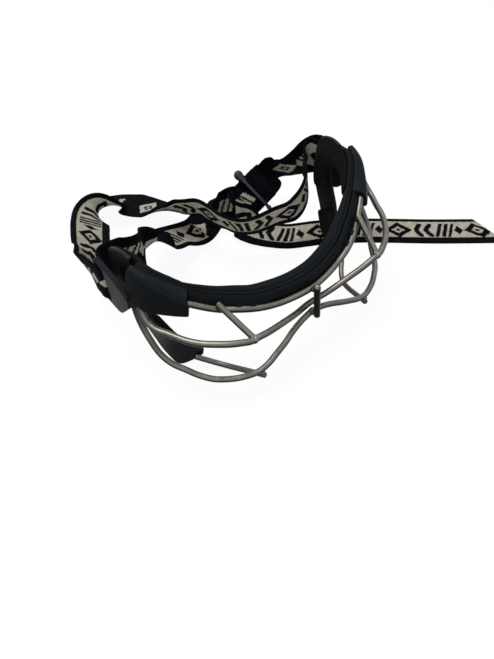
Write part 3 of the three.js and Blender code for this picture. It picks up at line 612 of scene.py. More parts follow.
def webbing_finish():
    """Jacquard webbing in two colours: cream ground with dark motifs, or dark ground with cream motifs."""
    finish = Finish("two_faced_webbing", Roughness=0.9, Specular_IOR_Level=0.04)
    places = finish.add("SeparateXYZ", {0: finish.add("UVMap", uv_map="weave").outputs["UV"]}).outputs
    along, across = (Field(finish.tree, socket) * 1000 for socket in places[:2])
    ground = finish.field("Attribute", "Fac", attribute_name="cream_ground").above(0.5)

    # Stepped places give the motifs the stair edges of woven threads
    ragged = finish.noise(1300, 2).ramp(0.3, 0.7, -0.35, 0.35)
    x = (along + ragged).stepped(0.75)
    y = (across + ragged * 0.8 - 12.5).stepped(0.65)
    off_middle = y.size()

    # Motifs of one repeat, 58 mm long: ringed lozenge, two arrowheads, three leaning bars, small lozenge
    repeat = x.wrapped(58)
    lozenge_size = (repeat - 10.5).size() / 10.2 + off_middle / 7.8
    ring = lozenge_size.below(1.0).both(lozenge_size.above(0.46))
    heart = lozenge_size.below(0.2)
    arrow = (repeat - 21).wrapped(7.2) - off_middle * 0.62
    arrows = arrow.above(0.1).both(arrow.below(4.3)).both(off_middle.below(6.9))
    arrows = arrows.both(repeat.above(22.0)).both(repeat.below(36))
    lean = repeat - y * 0.35
    bar = (lean - 38.5).wrapped(4.6)
    bars = bar.below(3.0).both(off_middle.below(6.6)).both(lean.above(38.6)).both(lean.below(50.0))
    small = ((repeat - 54.5).size() / 3.4 + off_middle / 4.6).below(1.0)
    sparse = ring.either(heart).either(small).either(bars.both(off_middle.below(4.6)))
    motif = sparse.either(arrows).either(bars)

    # The dark selvage is about 1.6 mm wider at one edge than the other: painted shade along that edge
    selvage = (y - 0.8).size().above(8.2)
    cream_face = motif.either(selvage) * -1 + 1
    cream = ground * cream_face + (ground * -1 + 1) * sparse

    pick = (along * (2 * math.pi / 1.05)).wave()
    warp = (across * (2 * math.pi / 0.78)).wave()
    weave = pick * 0.5 + warp * 0.5 + pick * warp * 0.5
    fleck = finish.noise(2300, 3).ramp(0.5, 0.75)
    shade = finish.noise(240, 4).ramp(0.3, 0.7)
    light = finish.blend(shade, (0.47, 0.445, 0.36), (0.64, 0.61, 0.50))
    light = finish.blend(fleck * 0.42, light, (0.17, 0.155, 0.125))
    dark = finish.blend(shade, (0.0016, 0.0016, 0.0032), (0.0042, 0.0042, 0.0078))
    dark = finish.blend(fleck * 0.12, dark, (0.03, 0.031, 0.042))
    return finish.done(finish.blend(cream, dark, light), None, (weave, 0.00022, 0.9), (cream, 0.00014, 0.6))


rubber = rubber_finish("satin_rubber", (0.0062, 0.0083, 0.0100))
# The housing's copy of the rubber differs only in a stronger painted top light
housing_rubber = rubber_finish("housing_rubber", (0.0130, 0.0165, 0.0195))
frame_plastic = frame_plastic_finish()
foam = foam_finish()
warm_wire = wire_finish("pewter_wire", (0.155, 0.145, 0.126), (0.235, 0.222, 0.198), (0.44, 0.42, 0.38))
# A cooler grey copy of the same metal: painted shade and reflection for a lower wire that lies in shade
shade_tinted_wire = wire_finish("grey_wire", (0.13, 0.141, 0.147), (0.19, 0.204, 0.211), (0.33, 0.345, 0.35))
weld_metal = wire_finish("weld_metal", (0.10, 0.088, 0.07), (0.30, 0.285, 0.255), (0.60, 0.58, 0.54))
slider_plastic = slider_finish()
loose_fibre = fibre_finish()
webbing = webbing_finish()


def dress(piece, material, slot, *nodes, body="goggles"):
    piece.data.materials.clear()
    piece.data.materials.append(material)
    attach(piece, body)
    if nodes:
        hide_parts(*nodes)
    return piece


# Cords first: the head strap as rows in millimetres, each with the way of the width

slider_centre = np.array((50.3, 72.9, 20)) * MM
slider_bars = unit((-0.26, 0.79, 0.55))
slider_way = np.array((0.83, -0.11, 0.55))
slider_way = unit(slider_way - slider_bars * slider_way.dot(slider_bars))
slider_down = np.cross(slider_way, slider_bars)
slider_down *= -np.sign(slider_down[2])
slot_offset = (SLIDER_BAR + SLIDER_SLOT) / 2
bar_offset = slot_offset + (SLIDER_SLOT + SLIDER_BAR) / 2
upright = np.array((0.0, 0.0, 1.0))


def at_slider(way, down):
    return slider_centre + slider_way * way + slider_down * down


def row(at, way):
    return [*at, *way]


def half_turn(centre, out, on, radius, way):
    rows = []
    for k in range(7):
        angle = math.pi * k / 6
        rows.append(row(centre + out * radius * math.cos(angle) + on * radius * math.sin(angle), way))
    return rows


def round_anchor(side):
    corner = place(anchor_place_share, side)
    radius = ANCHOR_THICKNESS / 2 + GAP + STRAP_THICKNESS / 2
    centre = corner + np.array((side * ANCHOR_THICKNESS / 2, ANCHOR_LENGTH - ANCHOR_BAR, 0))
    out = np.array((side, 0.0, 0.0))
    beside_bar = centre + np.array((0, ANCHOR_BAR / 2, 0))
    return [
        row(beside_bar + out * radius, upright),
        *half_turn(centre, out, np.array((0.0, -1.0, 0.0)), radius, upright),
        row(beside_bar - out * radius, upright),
    ]


def behind_anchor(side, way):
    corner = place(anchor_place_share, side)
    off = ANCHOR_THICKNESS / 2 + way * (ANCHOR_THICKNESS / 2 + GAP + STRAP_THICKNESS / 2)
    at = np.array((corner[0] + side * off, corner[1] + ANCHOR_LENGTH - ANCHOR_BAR / 2 + GAP, corner[2]))
    return [row(at, upright), row(at + np.array((0, ANCHOR_BAR, 0)), upright)]


def laid(rows):
    return [[x * MM, y * MM, z * MM, a, b, c] for x, y, z, a, b, c in rows]


front_band_rows = [
    *round_anchor(1),
    *laid([
        [81.2, 46.5, 50, 0, 0, 1], [79.2, 50.3, 49.7, 0, 0, 1], [75, 50.3, 48.5, -0.12, -0.1, 1],
        [70.5, 43.7, 45.5, -0.3, -0.17, 0.94], [66.5, 38, 42.5, -0.36, -0.19, 0.92],
        [58, 31.8, 37, -0.44, -0.12, 0.88], [48, 30, 33, -0.47, -0.05, 0.88],
        [36.5, 34, 31, -0.49, -0.13, 0.86],
        [21, 38.5, 29, -0.35, -0.24, 0.9], [11, 44, 30, -0.25, -0.39, 0.88],
        [6.5, 53.5, 30.5, -0.26, -0.48, 0.83], [4, 63.5, 31, -0.18, -0.49, 0.86],
        [1.5, 73, 31, -0.2, -0.48, 0.86], [-3.5, 82, 28, -0.19, -0.43, 0.88],
        [-8, 91, 23, -0.25, -0.6, 0.75], [-13, 110, 14, -0.46, -0.83, 0.35],
        [-17, 127.5, 8, -0.51, -0.85, 0.16],
        [-20.5, 138.5, 5.5, -0.44, -0.88, 0.16], [-28.5, 141, 8, -0.33, -0.87, 0.35],
        [-39, 134, 15, -0.3, -0.75, 0.55], [-54, 118, 26, -0.65, -0.4, 0.65],
        [-64, 98.5, 35.5, -0.74, -0.28, 0.61], [-72, 81, 42, -0.74, -0.2, 0.64],
        [-79.5, 66, 46, -0.68, -0.24, 0.7], [-86.3, 55.5, 48.5, -0.35, -0.12, 0.93],
        [-87, 49, 50, -0.04, 0, 1],
    ]),
    *round_anchor(-1),
]
return_rows = [
    *behind_anchor(-1, -1),
    *laid([
        [-78.5, 51.5, 49, 0, 0, 1], [-67, 53.5, 47, -0.25, -0.02, 0.96],
        [-56.5, 52.5, 44.5, -0.31, -0.03, 0.95], [-46.5, 60.5, 36, -0.4, -0.55, 0.73],
        [-36, 68.5, 28, -0.3, -0.7, 0.6], [-27, 73, 20, -0.24, -0.93, 0.25],
        [-14.5, 78.5, 12, -0.1, -0.98, 0.05], [1.8, 78.1, 7, 0.28, -0.9, -0.25],
        [14.5, 83.3, 6.5, 0.45, -0.87, -0.15], [20.6, 85.1, 8.5, 0.1, -0.85, 0.5],
        [22.3, 83.3, 12, -0.3, -0.4, 0.87], [26.3, 82.6, 12.6, -0.45, 0.15, 0.87],
        [34.5, 79.8, 12.3, -0.38, 0.6, 0.7],
    ]),
    *(row(at_slider(way, slot_offset), slider_bars) for way in (-FOLD_REACH, -FOLD_REACH / 2, 0)),
    *half_turn(at_slider(FOLD_REACH - slot_offset, 0), slider_down, slider_way, slot_offset, slider_bars),
    *(row(at_slider(way, -slot_offset), slider_bars) for way in (0, -FOLD_REACH / 2, -FOLD_REACH)),
]
tail_rows = [
    row(at_slider(-FOLD_REACH - 1.5 * GAP, -slot_offset), slider_bars),
    row(at_slider(-FOLD_REACH - SLIDER_THICKNESS, -slot_offset), slider_bars),
    *laid([
        [34.3, 71, 14, -0.12, 0.6, 0.8], [30.5, 68.5, 13.5, 0.05, 0.35, 0.93],
        [28.5, 64.5, 13.5, 0.25, 0.2, 0.95], [29.5, 60.5, 12.8, 0.45, 0.4, 0.8],
        [32.5, 55.5, 9.6, 0.62, 0.55, 0.55], [37.5, 51, 5.2, 0.69, 0.69, 0.2],
        [43.5, 45.5, 2.4, 0.7, 0.7, 0.05], [52, 38, 1, 0.68, 0.72, 0], [73, 25.5, 1, 0.6, 0.8, 0],
        [94.5, 10.5, 0.9, 0.6, 0.8, 0], [113, -5, 0.9, 0.6, 0.8, 0], [136, -25, 0.9, 0.62, 0.78, 0],
        [158, -43, 0.9, 0.62, 0.78, 0], [169.3, -52, 0.9, 0.62, 0.78, 0],
    ]),
]
upper_rows = [
    *behind_anchor(1, 1),
    *laid([
        [86.4, 53, 45, -0.1, 0.1, 0.98], [84.5, 58, 38.8, -0.3, 0.05, 0.94], [82, 64, 33, -0.43, -0.1, 0.89],
        [79, 70, 29, -0.47, -0.2, 0.85], [76, 75.3, 26.8, -0.48, -0.16, 0.85],
        [72.5, 78.3, 25.6, -0.44, 0.15, 0.88],
    ]),
    row(at_slider(2.8 * END_REACH, 1.35 * bar_offset), (-0.34, 0.6, 0.72)),
    row(at_slider(1.9 * END_REACH, 1.12 * bar_offset), slider_bars),
    row(at_slider(END_REACH, bar_offset), slider_bars),
]


def webbing_section():
    """Columns round the webbing: place across, height off the middle, weave place, and side of the face."""
    half = STRAP_WIDTH / 2
    thick = STRAP_THICKNESS / 2
    spread = np.linspace(-1, 1, FACE_COLUMNS)
    flat = spread * (half - EDGE_ROLL)
    swell = 1 + 0.1 * np.exp(-((np.abs(spread) - 0.86) / 0.09) ** 2) - 0.05 * (1 - spread ** 2)
    rim = half - EDGE_ROLL * 0.25
    low = thick * 0.62
    return np.array([
        *((x, thick * s, x + half, 1) for x, s in zip(flat, swell)),
        (rim, low, 2 * half, 1), (half, 0, 2 * half, 0), (rim, -low, 2 * half, -1),
        *((x, -thick * s, x + half, -1) for x, s in zip(flat[::-1], swell[::-1])),
        (-rim, -low, 0, -1), (-half, 0, 0, 0), (-rim, low, 0, 1),
    ])


def webbing_strip(name, rows, cream_sign, dark_stretches=(), start_along=0.0, cut_slant=0.0):
    """A strip of webbing along its rows. cream_sign is the side of its face off the rows that is cream."""
    rows = np.array(rows, float)
    rough_t = np.linspace(0, 1, 40 * (len(rows) - 1) + 1)
    rough, _ = spline(rows[:, :3], rough_t)
    lengths = np.concatenate(([0], np.cumsum(np.linalg.norm(np.diff(rough, axis=0), axis=1))))
    count = max(8, int(lengths[-1] / RIBBON_STEP))
    along = np.linspace(0, lengths[-1], count + 1)
    t = np.interp(along, lengths, rough_t)
    middle, tangent = spline(rows[:, :3], t)
    way, _ = spline(rows[:, 3:], t)
    tangent = unit(tangent)
    way = unit(way - tangent * np.sum(way * tangent, 1)[:, None])
    off = np.cross(tangent, way)
    section = webbing_section()
    columns = len(section)
    slant = cut_slant * np.clip((along - (lengths[-1] - SLANT_REACH)) / SLANT_REACH, 0, 1) ** 1.5
    rings = (
        middle[:, None, :]
        + way[:, None, :] * section[None, :, 0, None]
        + off[:, None, :] * section[None, :, 1, None]
        + tangent[:, None, :] * (slant[:, None] * section[None, :, 0])[..., None]
    )
    faces = ring_faces(count + 1, columns)
    lower = [2 * FACE_COLUMNS + 2 - k for k in range(FACE_COLUMNS)]
    for base, turn in ((0, 1), (count * columns, -1)):
        for k in range(FACE_COLUMNS - 1):
            quad = (base + k, base + lower[k], base + lower[k + 1], base + k + 1)
            faces.append(quad[::turn])
        for first in (FACE_COLUMNS - 1, 2 * FACE_COLUMNS + 2):
            faces.append(tuple(base + (first + k) % columns for k in range(5))[::-turn])
    mesh = new_mesh(name, rings.reshape(-1, 3), faces)
    mesh.update()
    layer = mesh.uv_layers.new(name="weave")
    ground = mesh.attributes.new("cream_ground", "FLOAT", "FACE")
    values = np.zeros(len(mesh.polygons), np.float32)
    for polygon in mesh.polygons:
        polygon.use_smooth = True
        here = [v % columns for v in polygon.vertices]
        where = along[min(polygon.vertices) // columns]
        side = np.sign(np.mean([section[c, 3] for c in here]))
        dark = any(low <= where <= high for low, high in dark_stretches)
        values[polygon.index] = side == cream_sign and not dark
        wraps = max(here) - min(here) > columns / 2
        for loop in polygon.loop_indices:
            ring, column = divmod(mesh.loops[loop].vertex_index, columns)
            across = 0 if wraps and column < 2 else section[column, 2]
            layer.data[loop].uv = (start_along + along[ring], across)
    ground.data.foreach_set("value", values)
    return new_object(name, mesh), middle, lengths[-1]


upper_strip, upper_path, _ = webbing_strip("strap_upper", upper_rows, 1, start_along=0.9)
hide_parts("strap_upper_run")
upper_strip.data.materials.append(webbing)
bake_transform(upper_strip)

# For each strip: rows, cream side, stretches with both faces dark, where its weave starts, slant of its end
band_specs = [
    ("strap_band", (front_band_rows, -1), "strap_front_band", "object", (upper_strip,)),
    ("strap_return", (return_rows, -1, RETURN_DARK, 0.365), "strap_return_run", "object", ()),
    ("strap_loose_end", (tail_rows, 1, TAIL_DARK, 0.57, TAIL_SLANT), "strap_tail", "bare", ()),
]
for name, looks, node, far_end, others in band_specs:
    piece, path, length = webbing_strip(name, *looks)
    dress(piece, webbing, "webbing", node)
    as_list(others)


# Geometry Nodes: bent wires, weld beads and cut fibres


def node_group(name, inputs):
    """A Geometry Nodes group with its inputs, a material last."""
    tree = bpy.data.node_groups.new(name, "GeometryNodeTree")
    socket = tree.interface.new_socket
    socket("Geometry", in_out="INPUT", socket_type="NodeSocketGeometry")
    for label, value in inputs.items():
        kind = "NodeSocketInt" if isinstance(value, int) else "NodeSocketFloat"
        socket(label, in_out="INPUT", socket_type=kind).default_value = value
    socket("Material", in_out="INPUT", socket_type="NodeSocketMaterial")
    socket("Geometry", in_out="OUTPUT", socket_type="NodeSocketGeometry")
    given = tree.nodes.new("NodeGroupInput").outputs
    return given, partial(add_node, tree), partial(maths, tree)


def close_group(given, make, geometry):
    """The group's end: instances made real, and the material set."""
    real = make("GeometryNodeRealizeInstances", {0: geometry})
    paint = make("GeometryNodeSetMaterial", {"Geometry": real.outputs[0], "Material": given["Material"]})
    return make("NodeGroupOutput", {0: paint.outputs[0]}).id_data


def grown(name, data, tree, material, **inputs):
    """What a node group makes of a curve or of points, as a plain mesh piece."""
    holder = new_object(name, data)
    modifier = holder.modifiers.new(tree.name, "NODES")
    modifier.node_group = tree
    inputs["Material"] = material
    for item in tree.interface.items_tree:
        key = item.name.replace(" ", "_")
        if item.in_out == "INPUT" and key in inputs:
            modifier[item.identifier] = inputs[key]
    holder.data.materials.append(material)
    return as_mesh(holder)


def bent_wire_tree():
    """A round tube along a curve, drawn in towards both ends so that they are rounded."""
    given, make, maths = node_group("bent_wire", {
        "Radius": WIRE_DIAMETER / 2, "Sides": 20, "End Rounding": 0.5 * MM})
    from_start = make("GeometryNodeSplineParameter").outputs["Length"]
    from_end = maths("SUBTRACT", make("GeometryNodeSplineLength").outputs["Length"], from_start)
    near = maths("MINIMUM", from_end, from_start)
    back = maths("SUBTRACT", 1.0, maths("DIVIDE", near, given["End Rounding"], clamp=True))
    arc = maths("SQRT", maths("SUBTRACT", 1.0, back * back))
    inward = maths("SUBTRACT", 1.0, arc) * given["End Rounding"] / given["Radius"]
    circle = make("GeometryNodeCurvePrimitiveCircle", {
        "Resolution": given["Sides"], "Radius": given["Radius"]})
    tube = make("GeometryNodeCurveToMesh", {
        "Curve": given["Geometry"], "Profile Curve": circle.outputs["Curve"],
        "Scale": maths("SUBTRACT", 1.0, inward), "Fill Caps": True})
    smooth = make("GeometryNodeSetShadeSmooth", {0: tube.outputs["Mesh"]})
    return close_group(given, make, smooth.outputs[0])


def weld_bead_tree():
    """A lumpy bead at each point of a mesh."""
    given, make, _ = node_group("weld_bead", {"Radius": 2 * MM, "Lumps": 0.5 * MM, "Seed": 0.0})
    ball = make("GeometryNodeMeshIcoSphere", {"Subdivisions": 5, "Radius": given["Radius"]})
    spread = make("GeometryNodeInstanceOnPoints", {
        "Points": given["Geometry"], "Instance": ball.outputs["Mesh"]})
    balls = make("GeometryNodeRealizeInstances", {0: spread.outputs[0]})
    lumps = make(
        "ShaderNodeTexNoise", {"Scale": 420, "Detail": 3, "W": given["Seed"]}, noise_dimensions="4D")
    height = (Field(lumps.id_data, lumps.outputs["Fac"]) - 0.5) * given["Lumps"]
    normal = make("GeometryNodeInputNormal").outputs[0]
    push = make("ShaderNodeVectorMath", {0: normal, "Scale": height}, operation="SCALE")
    moved = make("GeometryNodeSetPosition", {"Geometry": balls.outputs[0], "Offset": push.outputs[0]})
    smooth = make("GeometryNodeSetShadeSmooth", {0: moved.outputs[0]})
    return close_group(given, make, smooth.outputs[0])


def fibre_tree():
    """A thin tapering fibre at each point of a mesh, along the point's own way."""
    given, make, _ = node_group("cut_fibres", {"Length": 1.6 * MM, "Thickness": FIBRE_THICKNESS, "Seed": 1})
    strand = make("GeometryNodeMeshCone", {
        "Vertices": 5, "Radius Top": 0.02 * MM,
        "Radius Bottom": given["Thickness"], "Depth": given["Length"]})
    way = make("GeometryNodeInputNamedAttribute", {"Name": "way"}, data_type="FLOAT_VECTOR")
    turn = make("FunctionNodeAlignRotationToVector", {"Vector": way.outputs["Attribute"]}, axis="Z")
    size = make("FunctionNodeRandomValue", {2: 0.35, 3: 1.0, "Seed": given["Seed"]}, data_type="FLOAT")
    spread = make("GeometryNodeInstanceOnPoints", {
        "Points": given["Geometry"], "Instance": strand.outputs["Mesh"],
        "Rotation": turn.outputs["Rotation"], "Scale": size.outputs[1]})
    return close_group(given, make, spread.outputs[0])


wire_tree = bent_wire_tree()
bead_tree = weld_bead_tree()
cut_fibre_tree = fibre_tree()


def bent_wire(name, route, diameter, material, steps=None, rounding=0.55 * MM):
    length = route.length
    steps = steps or max(12, int(length / WIRE_STEP))
    near = np.array([0, 0.1, 0.3, 0.6, 1.0]) * rounding
    between_ends = np.linspace(rounding, length - rounding, steps)[1:-1]
    places, _ = route.at(np.concatenate((near, between_ends, length - near[::-1])) / length)
    curve = bpy.data.curves.new(name, "CURVE")
    curve.dimensions = "3D"
    line = curve.splines.new("POLY")
    line.points.add(len(places) - 1)
    for point, at in zip(line.points, places):
        point.co = (*at, 1)
    return grown(name, curve, wire_tree, material, Radius=diameter / 2, Sides=20, End_Rounding=rounding)


def wire_piece(name, node, route, diameter=WIRE_DIAMETER, *shape, material=warm_wire):
    dress(bent_wire(name, route, diameter, material, *shape), material, "wire", node)


def straight(start, end):
    return Route([start, (np.asarray(start) + end) / 2, end])


def weld_beads(name, centres, radius, seed):
    beads = grown(
        name, new_mesh(name, centres), bead_tree, weld_metal,
        Radius=radius, Lumps=0.5 * radius, Seed=float(seed))
    dress(beads, weld_metal, "wire")


# Fibres at the tail's cut end
dice = np.random.default_rng(7)
tail_end = np.array(tail_rows[-1][:3])
tail_along = unit(tail_end - np.array(tail_rows[-2][:3]))
tail_across = unit(np.array(tail_rows[-1][3:]))
tail_across = unit(tail_across - tail_along * tail_across.dot(tail_along))
tail_off = np.cross(tail_along, tail_across)
spread = dice.uniform(-1, 1, FIBRES) * STRAP_WIDTH / 2
fibre_places = (
    tail_end + tail_across * spread[:, None] + tail_along * (TAIL_SLANT * spread)[:, None]
    + tail_off * (dice.uniform(-0.4, 0.4, FIBRES) * STRAP_THICKNESS)[:, None])
fibre_ways = (
    tail_along + tail_across * dice.normal(0, 0.45, FIBRES)[:, None]
    + upright * dice.uniform(0, 0.3, FIBRES)[:, None])
fibre_points = new_mesh("cut_end_fibres", fibre_places)
way = fibre_points.attributes.new("way", "FLOAT_VECTOR", "POINT")
way.data.foreach_set("vector", np.asarray(fibre_ways, np.float32).ravel())
dress(grown(
    "cut_end_fibres", fibre_points, cut_fibre_tree, loose_fibre,
    Length=2.2 * MM, Thickness=FIBRE_THICKNESS, Seed=3), loose_fibre, "webbing")


# Slider: a plate with two slots, and bars that thicken both of its ends

slider = plate(
    "slider",
    box_outline(SLIDER_LENGTH / 2, bar_offset + SLIDER_BAR / 2, SLIDER_CORNER),
    [
        box_outline(SLIDER_SLOT_LENGTH / 2, SLIDER_SLOT / 2, 0.6 * MM, (0, middle))[::-1]
        for middle in (-slot_offset, slot_offset)
    ],
    SLIDER_THICKNESS, (slider_bars, slider_down, slider_way), slider_centre,
)
end_bars = []
for end, width in SLIDER_END_BARS:
    middle = slider_centre + slider_bars * (np.sign(end) * SLIDER_LENGTH / 2 - end)
    reach = slider_down * (bar_offset + SLIDER_BAR / 2)
    end_bars.append(bent_wire(
        "end_bar", straight(middle - reach, middle + reach), width, slider_plastic, 12, 0.42 * width))
smooth_union(slider, end_bars)
dress(slider, slider_plastic, "slider_plastic", "strap_slider", body="slider")


# Cage: wires, struts and the post in the middle

brow_wire_route = Route(mirrored_through(brow_wire_shares))
strut_feet = [place(strut_foot_share, side) for side in (-1, 1)]
centre_wire_route = Route([strut_feet[0], *mirrored_through(centre_wire_shares), strut_feet[1]])
brow_line = Route(mirrored_through(brow_line_shares))
wire_piece("brow_wire_bar", "brow_wire", brow_wire_route)
wire_piece("centre_wire_bar", "centre_wire", centre_wire_route)

brow_middle = place(brow_wire_shares[0])
low_middle = place(lower_wire_shares[0])
post_down = unit(low_middle - brow_middle)
post_off = np.array((0, post_down[2], -post_down[1])) * ((WIRE_DIAMETER + POST_DIAMETER) / 2 + GAP)
post_top = brow_middle + post_off - post_down * POST_STAND_UP
post_foot = low_middle + post_off + post_down * POST_HANG_DOWN
wire_piece(
    "nose_post_bar", "nose_post", straight(post_top, post_foot), POST_DIAMETER, 10, 0.5 * MM)
middle_beads = [brow_middle + post_off * 0.5, low_middle + post_off * 0.42, low_middle]
weld_beads("middle_welds", middle_beads, POST_BEAD, 1)
weld_beads("post_top_weld", [post_top + post_down * 1.1 * MM], POST_BEAD, 2)


# Brow frame and brow pad


def rail(name, section_at, low, high, steps, radius, sharp_angle=SHARP_ANGLE):
    """A rail along the brow line: its section's x runs inwards and its y runs up."""
    def ring(share, inset):
        at, along = brow_line.at(between(low, high, share))
        inward = unit(np.cross(upright, along[0]))
        outline = inset_outline(section_at(share), inset)
        return at[0] + inward * outline[:, 0, None] + upright * outline[:, 1, None]
    return loft(name, rounded_ends(ring, steps, brow_line.length * abs(high - low), radius), sharp_angle)


def brow_frame_section(share):
    """The rail's outline, its lower edge swelling out to meet the brow wire."""
    (at,), _ = brow_line.at(between(frame_end_share, 1 - frame_end_share, share))
    (near,), _ = brow_wire_route.at(brow_wire_route.nearest(at))
    lip = max(RAIL_DEPTH + 0.1 * MM, np.linalg.norm((near - at)[:2]) - WIRE_DIAMETER / 2 + 0.1 * MM)
    return turned([
        (-lip, -RAIL_HEIGHT, 0.5), (-0.15 * MM, -RAIL_HEIGHT, 0.3), (-0.15 * MM, -0.9 * MM, 0.4),
        (-0.75 * MM, 0, 0.35), (-1.5 * MM, 0, 0.5), (-RAIL_DEPTH, -1.15 * MM, 0.8), (-lip, -3.6 * MM, 0.8),
    ])


def brow_pad_section(share):
    """The pad's outline, its foot reaching under the rail so that no light shows between them."""
    thin = min(1, 2.6 * abs(2 * share - 1) ** 3)
    far = GAP + between(PAD_DEPTH, PAD_END_DEPTH, thin)
    rim = min(1.5 * MM, 0.3 * far)
    under = -RAIL_HEIGHT - 0.2 * MM
    return turned([
        (-PAD_FOOT, -PAD_HEIGHT, 0.5), (far - RAIL_BEVEL, -PAD_HEIGHT, 0.8),
        (far, -PAD_HEIGHT + RAIL_BEVEL, 0.8), (far, -0.9 * MM, 0.7),
        (far - 0.8 * MM, PAD_CROWN * 0.8, 0.7), (GAP + rim + 0.6 * MM, PAD_CROWN, 0.5),
        (GAP + rim, -0.25 * MM, 0.3), (GAP + 0.25 * MM, -0.25 * MM, 0.3), (-0.1 * MM, -0.9 * MM, 0.3),
        (-0.1 * MM, under, 0.1), (-PAD_FOOT, under, 0.5),
    ])


frame_end_share = housing_start_share + GAP / brow_line.length
brow_frame = rail("brow_frame_rail", brow_frame_section, frame_end_share, 1 - frame_end_share, 150, 0.5 * MM)
dress(brow_frame, rubber, "rail_rubber", "brow_frame")
brow_pad = rail("brow_pad_rail", brow_pad_section, pad_end_share, 1 - pad_end_share, 190, 1.2 * MM)
dress(brow_pad, rubber, "rail_rubber", "brow_pad")


# Temple housings with their strap anchors


def housing_section(share):
    height = between(HOUSING_FRONT_HEIGHT, HOUSING_REAR_HEIGHT, min(1, 1.6 * share))
    top = between(HOUSING_FRONT_WIDTH, HOUSING_TOP_WIDTH, share)
    ridge = between(HOUSING_RIDGE, HOUSING_BEVEL, share ** 1.5)
    return turned([
        (-0.05 * MM, -height, 0.3), (-0.05 * MM, 0, 0.5), (-top + ridge, 0, 0.6), (-top, -ridge, 0.6),
        (-HOUSING_FOOT_WIDTH, -height + HOUSING_BEVEL, 0.9),
        (-HOUSING_FOOT_WIDTH + HOUSING_BEVEL, -height, 0.9),
    ])


def on_side(share, side):
    """A share of the brow line from the right end, or the same from the left end."""
    return 1 - share if side > 0 else share


def temple_housing(name, side):
    start, end = on_side(housing_start_share, side), on_side(housing_end_share, side)
    shell = rail(name, housing_section, start, end, 40, 0.7 * MM)
    half = ANCHOR_HEIGHT / 2
    corner = 1.4 * ANCHOR_CORNER / MM
    outline = turned([
        (0, ANCHOR_SLOPE_HEIGHT - half, 1.5), (ANCHOR_SLOPE_LENGTH, -half, 5),
        (ANCHOR_LENGTH, -half, corner),
        (ANCHOR_LENGTH, half, corner), (ANCHOR_DIP_LENGTH, half, 2), (0, half - ANCHOR_DIP, 0.5),
    ], 6)
    slot_middle = ANCHOR_LENGTH - ANCHOR_BAR - SLOT_WIDTH / 2
    slot = box_outline(SLOT_WIDTH / 2, SLOT_HEIGHT / 2, 0.8 * MM, (slot_middle, 0))[::-1]
    centre = place(anchor_place_share, side) + np.array((side * ANCHOR_THICKNESS / 2, 0, 0))
    anchor = plate("anchor", outline, [slot], ANCHOR_THICKNESS, ((0, 1, 0), (0, 0, 1), (1, 0, 0)), centre)
    return smooth_union(shell, [anchor])


# Side frames and their pads


def band_at(outer, inner, share, side):
    """A band's edge at a share of its length, the step to its other edge, and the way off its face."""
    (edge,), _ = spline(outer, share)
    (other,), _ = spline(inner, share)
    ahead = sum(spline(e, min(share + BAND_STEP, 1))[0][0] for e in (outer, inner))
    behind = sum(spline(e, max(share - BAND_STEP, 0))[0][0] for e in (outer, inner))
    across = other - edge
    return edge, across, unit(np.cross(across, unit(ahead - behind))) * -side


def band(name, outer, inner, side, section, steps, low, high, radius, sharp_angle=SHARP_ANGLE):
    """A band between two edges: its section's x runs across it and its y stands off its face."""
    length = (high - low) * 0.5 * (Route(outer).length + Route(inner).length)

    def ring(share, inset):
        edge, across, off = band_at(outer, inner, between(low, high, share), side)
        outline = inset_outline(section(np.linalg.norm(across)), inset)
        points = edge + unit(across) * outline[:, 0, None] + off * outline[:, 1, None]
        points[:, 2] = np.maximum(points[:, 2], 0)
        return points
    return loft(name, rounded_ends(ring, steps, length, radius), sharp_angle)


def plate_section(width):
    return rounded([(0, 0), (width, 0), (width, FRAME_THICKNESS), (0, FRAME_THICKNESS)], 0.6 * MM)


def pad_section(thickness, rim=0.62, crown=0.14):
    foot = FRAME_THICKNESS + 0.15 * MM

    def section(width):
        return turned([
            (0.03 * width, foot, 0.4), (0.97 * width, foot, 0.4),
            (0.97 * width, foot + thickness * 0.62, 1.4), (0.86 * width, foot + thickness, 2.2),
            (crown * width, foot + thickness, 2.2), (0.03 * width, foot + thickness * rim, 1.2),
        ], 5)
    return section


def liner_section(share):
    near = PAD_END_DEPTH + 1.3 * GAP
    far = near + GAP + between(LINER_DEPTH, LINER_REAR_DEPTH, share)
    crease = between(LINER_CREASE, LINER_REAR_CREASE, share)
    height = between(LINER_HEIGHT, LINER_REAR_HEIGHT, share)
    return turned([
        (near, -height, 0.4), (far - RAIL_BEVEL, -height, 0.6), (far, RAIL_BEVEL - height, 0.8),
        (far, -crease, 1.6), (near + PAD_CROWN, -LINER_RIM / 2, 0.6), (near, -LINER_RIM, 0.3),
    ])


def clip(name, at, way):
    """An open sleeve that holds the brow wire from above and behind."""
    inward = unit(np.cross(upright, way))
    above = np.cross(way, inward)
    bore = WIRE_DIAMETER / 2
    wall = bore + SLEEVE_WALL * 0.75
    half = SLEEVE_LENGTH / 2
    outline = rounded([(bore, -half), (wall, -half), (wall, half), (bore, half)], 0.35 * MM)
    rings = []
    for angle in np.linspace(SLEEVE_FROM, SLEEVE_TO, 22):
        out = inward * math.cos(angle) + above * math.sin(angle)
        rings.append(at + out * outline[:, 0, None] + way * outline[:, 1, None])
    return loft(name, rings)


